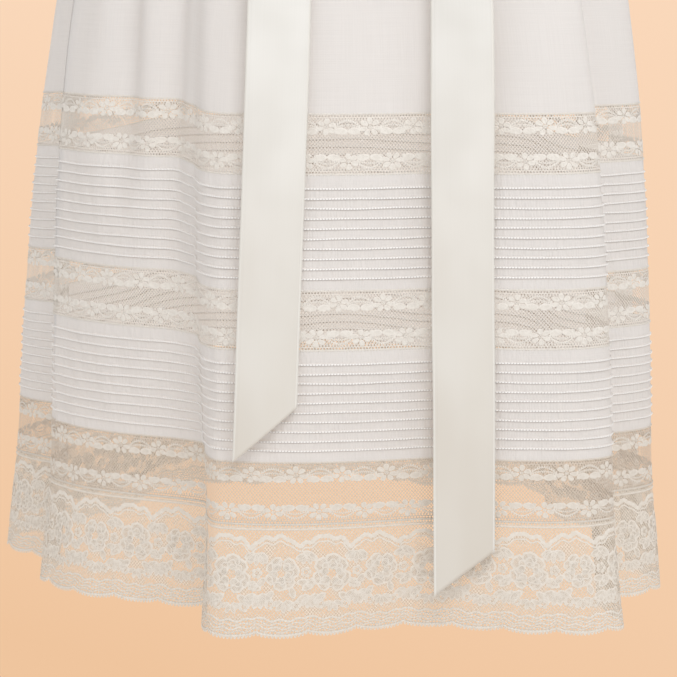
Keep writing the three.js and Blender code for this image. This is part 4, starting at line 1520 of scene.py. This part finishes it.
class GOWN_OT_bodice(bpy.types.Operator):
    """Make the bodice and the binding of its neck"""

    bl_idname = "gown.bodice"
    bl_label = "Bodice and neck"

    def execute(self, context):
        made = finishes(context.scene)
        sizes = context.scene.gown_sizes
        panels = (
            ("bodice_front", "front", -1.0, 1.0, 112),
            ("bodice_back_left", "back", 1.0, 0.0, 56),
            ("bodice_back_right", "back", 0.0, -1.0, 56),
        )
        for node, side, first, last, columns in panels:
            shares = np.linspace(first, last, columns + 1)
            share, down = np.meshgrid(shares, np.linspace(0.0, 1.0, BODICE_ROWS))
            share = np.where(np.abs(share) < 1e-9, 1e-9 * np.sign(first + last), share)
            places = bodice_place(share, down, side, np.zeros_like(share))
            along = np.abs(share - first) * TORSO_HALF_WIDTH * BODICE_FLAT_FACTOR
            sheet = make_sheet(f"cloth_{node}", places, along, -places[..., 2], wall=sizes.cloth_wall)
            settle(sheet, made["cotton"], "batiste", node)
        self.neck(made, sizes)
        return {"FINISHED"}

    def neck(self, made, sizes):
        """A folded strip that grips the neck edge, with stitches under it."""
        turns = np.linspace(0.0, 2.0 * np.pi, NECK_TURNS)
        turn, rise, out = profile_grid(turns, NECK_PROFILE)
        places = self.neck_place(turn, rise, out)
        along = turn * SHOULDER_NECK_X
        sheet = make_sheet("cloth_neck_binding", places, along, rise, closed=True)
        settle(sheet, made["cotton"], "batiste", "neck_binding")
        _, rise, out = profile_grid(turns, [NECK_STITCH])
        line = self.neck_place(turns, rise[0], out[0])
        stitches = line_stitches("stitches_neck", line, line * [1.0, 1.0, 0.0], sizes.stitch_pitch)
        settle(stitches, made["thread"], "batiste")

    def neck_place(self, turn, rise, out):
        """Places on the binding: above the neck edge or, where the rise is negative, over the bodice."""
        front = np.cos(turn) > 0.0
        drop = np.where(front, NECK_DROPS["front"], NECK_DROPS["back"])
        x = SHOULDER_NECK_X * np.sin(turn)
        z = -drop * soft_fall(np.cos(turn), NECK_SOFTNESS)
        y = np.where(front, -1.0, 1.0) * torso_depth(x, z)
        plan = np.stack([x, y, np.zeros_like(x)], axis=-1)
        outward = plan / np.linalg.norm(plan, axis=-1, keepdims=True)
        inward = 1.0 - 0.35 * np.maximum(rise, 0.0) / SHOULDER_NECK_X
        place = plan * inward[..., None] - outward * np.minimum(rise, 0.0)[..., None]
        place[..., 2] = np.where(rise < 0.0, bodice_height(place[..., 0], place[..., 1]), z + rise)
        return place + outward * out[..., None]


def sleeve_axes(turn):
    """The way out from the arm at a turn that runs from the shoulder to the front."""
    up = np.array([np.sin(SLEEVE_ANGLE), 0.0, np.cos(SLEEVE_ANGLE)])
    return up * np.cos(turn)[..., None] + np.array([0.0, -1.0, 0.0]) * np.sin(turn)[..., None]


def sleeve_place(side, share, turn):
    """Places on a sleeve, from the armhole (0) to the cuff (1)."""
    turn = np.mod(turn, 2.0 * np.pi)
    arm_share = np.where(turn <= np.pi, turn / np.pi, 2.0 - turn / np.pi)
    facing = np.where(turn <= np.pi, -1.0, 1.0)
    x, z = armhole_edge(arm_share)
    start = np.stack([x, facing * torso_depth(x, z), z], axis=-1)
    across = sleeve_axes(turn)
    end = np.array([SLEEVE_END_X, 0.0, SLEEVE_END_Z]) + across * SLEEVE_END_RADIUS
    puff = SLEEVE_PUFF * np.sin(np.pi * share) * (0.6 + 0.4 * np.cos(turn))
    head = np.exp(-share / 0.16) * (1.0 - np.exp(-share / 0.02)) * (0.5 + 0.5 * np.cos(turn))
    cuff = np.exp((share - 1.0) / 0.22) * (1.0 - np.exp((share - 1.0) / 0.02))
    wave = np.sin(23.0 * turn + 1.7 * np.sin(3.0 * turn))
    wave = wave + 0.6 * np.sin(37.0 * turn + 1.1 * np.sin(5.0 * turn))
    soft = 0.0012 * np.sin(5.0 * turn + 4.0 * share) * np.sin(np.pi * share)
    out = puff + 0.0011 * wave * (head + cuff) + soft
    point = start + (end - start) * share[..., None] + across * out[..., None]
    point[..., 0] *= side
    return point


def cuff_place(side, along, out, turn):
    """Places on a cuff: distance along the arm, distance out."""
    axis = np.array([np.cos(SLEEVE_ANGLE), 0.0, -np.sin(SLEEVE_ANGLE)])
    radius = SLEEVE_END_RADIUS - CUFF_TAPER * along / CUFF_WIDTH + out
    point = np.array([SLEEVE_END_X, 0.0, SLEEVE_END_Z]) + axis * along[..., None]
    point = point + sleeve_axes(turn) * radius[..., None]
    point[..., 0] *= side
    return point


class GOWN_OT_sleeves(bpy.types.Operator):
    """Make the short sleeves and their cuffs"""

    bl_idname = "gown.sleeves"
    bl_label = "Sleeves and cuffs"

    def execute(self, context):
        made = finishes(context.scene)
        sizes = context.scene.gown_sizes
        for name, side in (("left", 1.0), ("right", -1.0)):
            turns = -side * np.linspace(0.0, 2.0 * np.pi, SLEEVE_TURNS)
            turn, share = np.meshgrid(turns, np.linspace(0.0, 1.0, SLEEVE_ROWS))
            along = np.abs(turn) * SLEEVE_FLAT_RADIUS
            down = share * SLEEVE_FLAT_LENGTH
            places = sleeve_place(side, share, turn)
            sheet = make_sheet(
                f"cloth_sleeve_{name}", places, along, down, closed=True, wall=sizes.cloth_wall
            )
            settle(sheet, made["cotton"], "batiste", f"sleeve_{name}")
            turn, down, out = profile_grid(turns, CUFF_PROFILE)
            along = np.abs(turn) * SLEEVE_END_RADIUS
            places = cuff_place(side, down, out, turn)
            cuff = make_sheet(f"cloth_cuff_{name}", places, along, down, closed=True)
            settle(cuff, made["cotton"], "batiste", f"cuff_{name}")
            _, down, out = profile_grid(turns, [CUFF_STITCH])
            line = cuff_place(side, down[0], out[0], turns)
            outward = sleeve_axes(turns) * [side, 1.0, 1.0]
            stitches = line_stitches(f"stitches_cuff_{name}", line, outward, sizes.stitch_pitch)
            settle(stitches, made["thread"], "batiste")
        return {"FINISHED"}


def back_place(x, z, lift):
    """A place over the centre back, moved out from the cloth."""
    tilt = np.arctan((torso_depth(0.0 * z, z - 0.001) - torso_depth(0.0 * z, z)) / 0.001)
    y = torso_depth(x, z) + lift * np.cos(tilt)
    return np.stack([x, y, z + lift * np.sin(tilt)], axis=-1), tilt


class GOWN_OT_fastening(bpy.types.Operator):
    """Make the strip over the back edges and its buttons"""

    bl_idname = "gown.fastening"
    bl_label = "Back fastening"

    def execute(self, context):
        made = finishes(context.scene)
        sizes = context.scene.gown_sizes
        across = np.linspace(PLACKET_HALF_WIDTH, -PLACKET_HALF_WIDTH, 17)
        x, z = np.meshgrid(across, np.linspace(PLACKET_TOP_Z, PLACKET_BOTTOM_Z, 61))
        lift = PLACKET_LIFT + 0.0002 * lattice_noise(x / 0.005, z / 0.012, 61)
        places, _ = back_place(x, z, lift)
        sheet = make_sheet("cloth_back_placket", places, PLACKET_HALF_WIDTH - x, -z, wall=PLACKET_WALL)
        settle(sheet, made["cotton"], "batiste", "back_placket")
        top = PLACKET_TOP_Z - PLACKET_STITCH_INSET
        bottom = PLACKET_BOTTOM_Z + PLACKET_STITCH_INSET
        heights = np.linspace(top, bottom, PLACKET_STITCH_STEPS)
        lift = np.full_like(heights, PLACKET_LIFT + PLACKET_STITCH_LIFT)
        outward = np.tile([0.0, 1.0, 0.25], (PLACKET_STITCH_STEPS, 1))
        for name, side in (("left", 1.0), ("right", -1.0)):
            line, _ = back_place(np.full_like(heights, side * PLACKET_STITCH_ASIDE), heights, lift)
            stitches = line_stitches(f"stitches_placket_{name}", line, outward, sizes.stitch_pitch)
            settle(stitches, made["thread"], "batiste")
        for index, height in enumerate(BUTTON_HEIGHTS):
            self.button(index + 1, height, made)
        return {"FINISHED"}

    def button(self, number, height, made):
        """A round button sewn on with a cross of thread."""
        button = self.round_button(number)
        self.drill(button)
        bpy.ops.object.shade_smooth_by_angle(angle=np.radians(35.0))
        bar = stitch_shape(0.0030, 0.0006, 0.0003)
        points, faces = joined([set_at(bar, 0.0, 0.0, degrees) for degrees in (45.0, -45.0)])
        points[:, 1] *= -1.0
        points[:, 2] += BUTTON_THICKNESS / 2 - BUTTON_THREAD_SINK
        thread = make_needlework(f"thread_button_{number}", points[:, :3], faces[:, ::-1], points)
        lift = PLACKET_LIFT + BUTTON_CLEARANCE + BUTTON_THICKNESS / 2
        place, tilt = back_place(np.array([0.0]), np.array([height]), np.array([lift]))
        turn = Euler((-np.pi / 2 + tilt[0], 0.0, 0.0)).to_matrix().to_4x4()
        turn.translation = Vector(place[0])
        for piece in (button, thread):
            piece.data.transform(turn)
            piece.data.update()
        settle(button, made["button"], "button", f"button_{number}")
        settle(thread, made["thread"], "batiste")

    def round_button(self, number):
        """A disc with a rim, a sunk middle and soft edges."""
        bpy.ops.mesh.primitive_cylinder_add(vertices=40, radius=BUTTON_RADIUS, depth=BUTTON_THICKNESS)
        button = bpy.context.active_object
        button.name = f"pearl_button_{number}"
        bpy.ops.object.mode_set(mode="EDIT")
        bpy.ops.mesh.select_all(action="DESELECT")
        bpy.ops.object.mode_set(mode="OBJECT")
        for face in button.data.polygons:
            face.select = face.normal.z > 0.9
        bpy.ops.object.mode_set(mode="EDIT")
        bpy.ops.mesh.inset(thickness=BUTTON_RIM)
        bpy.ops.transform.translate(value=(0.0, 0.0, -BUTTON_SINK))
        bpy.ops.object.mode_set(mode="OBJECT")
        bpy.ops.object.modifier_add(type="BEVEL")
        bevel = button.modifiers[-1]
        bevel.width = BUTTON_BEVEL
        bevel.segments = 3
        bevel.limit_method = "ANGLE"
        bpy.ops.object.modifier_apply(modifier=bevel.name)
        return button

    def drill(self, button):
        """Cuts the four holes of a button."""
        for along, up in ((1, 1), (1, -1), (-1, 1), (-1, -1)):
            place = (BUTTON_HOLE_ASIDE * along, BUTTON_HOLE_ASIDE * up, 0.0)
            bpy.ops.mesh.primitive_cylinder_add(
                vertices=14, radius=BUTTON_HOLE_RADIUS, depth=DRILL_DEPTH, location=place
            )
            drill = bpy.context.active_object
            bpy.ops.object.select_all(action="DESELECT")
            button.select_set(True)
            bpy.context.view_layer.objects.active = button
            bpy.ops.object.modifier_add(type="BOOLEAN")
            hole = button.modifiers[-1]
            hole.object = drill
            hole.operation = "DIFFERENCE"
            bpy.ops.object.modifier_apply(modifier=hole.name)
            bpy.data.objects.remove(drill)


def skirt_front(from_x, to_x, drop):
    """The frontmost line of the skirt across a stretch of its width, one value for each drop."""
    degrees, drops = np.meshgrid(np.linspace(-90.0, 90.0, 361), drop)
    places = skirt_surface(degrees, drops)
    inside = (places[..., 0] >= from_x[:, None]) & (places[..., 0] <= to_x[:, None])
    return np.where(inside, places[..., 1], np.inf).min(axis=1)


class GOWN_OT_ribbon(bpy.types.Operator):
    """Make the sash, the bow and its two tails"""

    bl_idname = "gown.ribbon"
    bl_label = "Ribbon"

    def execute(self, context):
        self.finish = finishes(context.scene)["ribbon"]
        self.wall = context.scene.gown_sizes.ribbon_wall
        self.sash()
        self.knot()
        for name, side in (("left", 1.0), ("right", -1.0)):
            self.loop(name, side)
            self.tail(name)
        return {"FINISHED"}

    def add(self, node, places, along, share, cut, held, rests, closed=False):
        """A length of ribbon; the share runs from one selvage to the other."""
        across = share * RIBBON_WIDTH
        maps = {"edges": np.stack([across, (1.0 - share) * RIBBON_WIDTH], axis=-1)}
        sheet = make_sheet(f"satin_{node}", places, across, along, maps, closed, self.wall)
        settle(sheet, self.finish, "ribbon", node)

    def sash(self):
        """The ribbon round the waist."""
        turn, share = np.meshgrid(np.linspace(0.0, 2.0 * np.pi, 181), np.linspace(0.0, 1.0, 11))
        wave = np.sin(2.0 * turn + 5.0 * share) + np.sin(5.0 * turn + 9.0 * share + 1.3)
        lift = SASH_LIFT + 0.00035 * wave * np.sin(np.pi * share) + 0.0004 * np.abs(wave)
        x = (TORSO_HALF_WIDTH + lift) * np.sin(turn)
        y = -(TORSO_HALF_DEPTH + lift) * np.cos(turn)
        z = SASH_BOTTOM_Z + RIBBON_WIDTH * (1.0 - share)
        places = np.stack([x, y, z], axis=-1)
        along = turn * SASH_FLAT_RADIUS
        self.add("sash", places, along, share, CUTS["sash"], "stretched", ["bodice_front"], True)

    def knot(self):
        """The knot of the bow, a pleated ring."""
        turn, share = np.meshgrid(np.linspace(0.0, 2.0 * np.pi, 61), np.linspace(0.0, 1.0, 21))
        x = KNOT_WIDTH * (share - 0.5)
        pleats = 0.0007 * np.sin(9.5 * share + 0.8 * np.sin(turn)) + 0.0004 * np.sin(21.0 * share + 1.0)
        waist = 1.0 - 0.12 * (1.0 - (2.0 * share - 1.0) ** 2)
        y = KNOT_Y - (KNOT_HALF_DEPTH + pleats) * np.cos(turn)
        z = KNOT_Z + (waist * KNOT_HALF_HEIGHT + pleats) * np.sin(turn)
        places = np.stack([x, y, z], axis=-1)
        along = turn * KNOT_FLAT_RADIUS
        self.add("bow_knot", places, along, share, CUTS["bow_knot"], "folded", ["sash"], True)

    def loop(self, name, side):
        """One loop of the bow, out from the knot and back."""
        step, share = np.meshgrid(np.linspace(0.0, 1.0, 81), np.linspace(0.0, 1.0, 21))
        step = step if side > 0.0 else 1.0 - step
        turn = np.pi * step
        out = np.sin(turn) ** 0.9
        reach = KNOT_WIDTH / 5 + (LOOP_LENGTH - KNOT_WIDTH / 5) * out
        depth = LOOP_MOUTH + (LOOP_HALF_DEPTH - LOOP_MOUTH) * np.sin(turn) ** 1.5
        width = RIBBON_WIDTH * blend(LOOP_PINCH, 1.0, np.minimum(1.4 * out, 1.0))
        pleat = np.sin(3.0 * np.pi * share + 0.5) * 0.0020 * (1.0 - smooth(out / 0.8))
        sway = 0.0012 * np.sin(2.2 * np.pi * share + 5.0 * step) * smooth((out - 0.3) / 0.5)
        z = KNOT_Z - LOOP_DROOP * out**2 + width * (0.5 - share)
        y = KNOT_Y - depth * np.cos(turn) + (pleat + sway) * np.cos(turn)
        places = np.stack([side * (reach + sway), y, z], axis=-1)
        along = step * LOOP_FLAT_LENGTH
        self.add(f"bow_loop_{name}", places, along, share, CUTS["bow_loop"], "folded", ["bow_knot"])

    def tail(self, name):
        """One tail of the bow, lying on the front of the skirt."""
        shape = TAILS[name]
        side = shape["side"]
        lowest = max(shape["inner_end"], shape["outer_end"])
        line = np.linspace(TAIL_START, lowest, 400)
        front = self.tail_front(line, shape)
        share, step = np.meshgrid(np.linspace(0.0, 1.0, 19), np.linspace(0.0, 1.0, 221))
        across = 2.0 * share - 1.0
        end = blend(shape["outer_end"], shape["inner_end"], (1.0 - side * across) / 2.0)
        drop = blend(TAIL_START, end, step)
        half = self.tail_half_width(drop)
        turn = np.radians(shape["turn"]) * (1.0 - smooth((drop - 0.24) / 0.17))
        turn = turn * smooth((drop - 0.03) / 0.10)
        outer = (1.0 + side * across) / 2.0
        x = side * self.tail_centre(drop, shape) + across * half * np.cos(turn)
        y = np.interp(drop, line, front) - 2.0 * half * outer * np.sin(turn)
        gathered = 1.0 - smooth((drop - TAIL_START) / TAIL_OPEN_DROP)
        y -= 0.0022 * gathered * np.sin(4.0 * np.pi * share)
        y -= 0.0011 * np.sin(np.pi * share) * (1.0 - gathered)
        low = smooth((drop - shape["outer_end"] + 0.09) / 0.12)
        y -= shape["curl"] * low * (1.0 - outer) ** 3
        y -= 0.0035 * lattice_noise(drop / 0.075, share * 0.5, 71) * (1.0 - gathered)
        places = np.stack([x, y, WAIST_Z - drop], axis=-1)
        cut = (RIBBON_WIDTH, lowest + TAIL_ALLOWANCE)
        self.add(f"ribbon_tail_{name}", places, drop, share, cut, "hung", ["bow_knot"])

    def tail_centre(self, drop, shape):
        """How far aside the middle of a tail lies."""
        fanned = np.sin(np.pi / 2 * np.clip(drop / TAIL_SPREAD_DROP, 0.0, 1.0))
        lower = np.maximum(drop - TAIL_SPREAD_DROP, 0.0) / (shape["inner_end"] - TAIL_SPREAD_DROP)
        spread = blend(TAIL_TOP_SPREAD, shape["spread"], fanned)
        return spread + (shape["end_spread"] - shape["spread"]) * lower

    def tail_half_width(self, drop):
        """Half the width of a tail, which is bunched under the knot."""
        opened = smooth((drop - TAIL_START) / TAIL_OPEN_DROP)
        return RIBBON_WIDTH / 2 * blend(TAIL_TOP_SHARE, 1.0, opened)

    def tail_front(self, drop, shape):
        """How far forward the tail lies, smoothed over small creases of the skirt."""
        at = np.maximum(drop, 0.0)
        middle = shape["side"] * self.tail_centre(at, shape)
        reach = self.tail_half_width(at) + 0.004
        lying = skirt_front(middle - reach, middle + reach, at) - TAIL_CLEARANCE
        lying = np.minimum(lying, KNOT_Y)
        padded = np.pad(lying, 8, mode="edge")
        lowest = np.min([padded[i : i + len(lying)] for i in range(17)], axis=0)
        padded = np.pad(lowest, 8, mode="edge")
        return np.mean([padded[i : i + len(lying)] for i in range(17)], axis=0)


class GOWN_OT_stage(bpy.types.Operator):
    """Set the floor, the light and the camera"""

    bl_idname = "gown.stage"
    bl_label = "Stage"

    def execute(self, context):
        stage = context.scene.gown_stage
        bpy.ops.mesh.primitive_plane_add(size=FLOOR_WIDTH, location=(0.0, 0.0, stage.floor_height))
        floor = context.active_object
        floor.name = "floor"
        floor.data.materials.append(floor_finish(stage))
        floor.visible_diffuse = False
        self.light("key_light", stage.key_strength)
        self.light("back_light", stage.back_strength)
        glow = self.light("floor_glow", stage.glow_strength)
        glow.data.color = stage.glow_colour
        world = bpy.data.worlds.new("sky")
        world.use_nodes = True
        background = world.node_tree.nodes["Background"]
        background.inputs["Color"].default_value = SKY_COLOUR
        background.inputs["Strength"].default_value = stage.sky_strength
        context.scene.world = world
        bpy.ops.object.camera_add(location=CAMERA_PLACE)
        camera = context.active_object
        camera.rotation_euler = (np.radians(90.0 - CAMERA_TILT), 0.0, np.radians(CAMERA_HEADING))
        camera.data.lens = CAMERA_LENS
        context.scene.camera = camera
        context.scene.view_settings.view_transform = "Standard"
        return {"FINISHED"}

    def light(self, name, strength):
        """A soft square light that looks at a point."""
        place, target, size = LIGHTS[name]
        bpy.ops.object.light_add(type="AREA", location=place)
        lamp = bpy.context.active_object
        lamp.name = name
        lamp.rotation_euler = (Vector(place) - Vector(target)).to_track_quat("Z", "Y").to_euler()
        lamp.data.energy = strength
        lamp.data.size = size
        return lamp


class GOWN_PT_panel(bpy.types.Panel):
    """Lists the steps that make the gown"""

    bl_label = "Christening gown"
    bl_idname = "GOWN_PT_panel"
    bl_space_type = "VIEW_3D"
    bl_region_type = "UI"
    bl_category = "Gown"

    def draw(self, context):
        for step in STEPS:
            self.layout.operator(step.bl_idname)


STEPS = (
    GOWN_OT_stage,
    GOWN_OT_skirt_top,
    GOWN_OT_tuck_panels,
    GOWN_OT_lace_bands,
    GOWN_OT_lace_edging,
    GOWN_OT_bodice,
    GOWN_OT_sleeves,
    GOWN_OT_fastening,
    GOWN_OT_ribbon,
)
CLASSES = (GownSizes, GownColours, GownStage, *STEPS, GOWN_PT_panel)


def register():
    for made in CLASSES:
        bpy.utils.register_class(made)
    bpy.types.Scene.gown_sizes = PointerProperty(type=GownSizes)
    bpy.types.Scene.gown_colours = PointerProperty(type=GownColours)
    bpy.types.Scene.gown_stage = PointerProperty(type=GownStage)


def unregister():
    del bpy.types.Scene.gown_stage
    del bpy.types.Scene.gown_colours
    del bpy.types.Scene.gown_sizes
    for made in reversed(CLASSES):
        bpy.utils.unregister_class(made)


def main():
    register()
    bpy.ops.object.select_all(action="DESELECT")
    bpy.ops.gown.stage()
    bpy.ops.gown.skirt_top()
    bpy.ops.gown.tuck_panels()
    bpy.ops.gown.lace_bands()
    bpy.ops.gown.lace_edging()
    bpy.ops.gown.bodice()
    bpy.ops.gown.sleeves()
    bpy.ops.gown.fastening()
    bpy.ops.gown.ribbon()


if __name__ == "__main__":
    main()
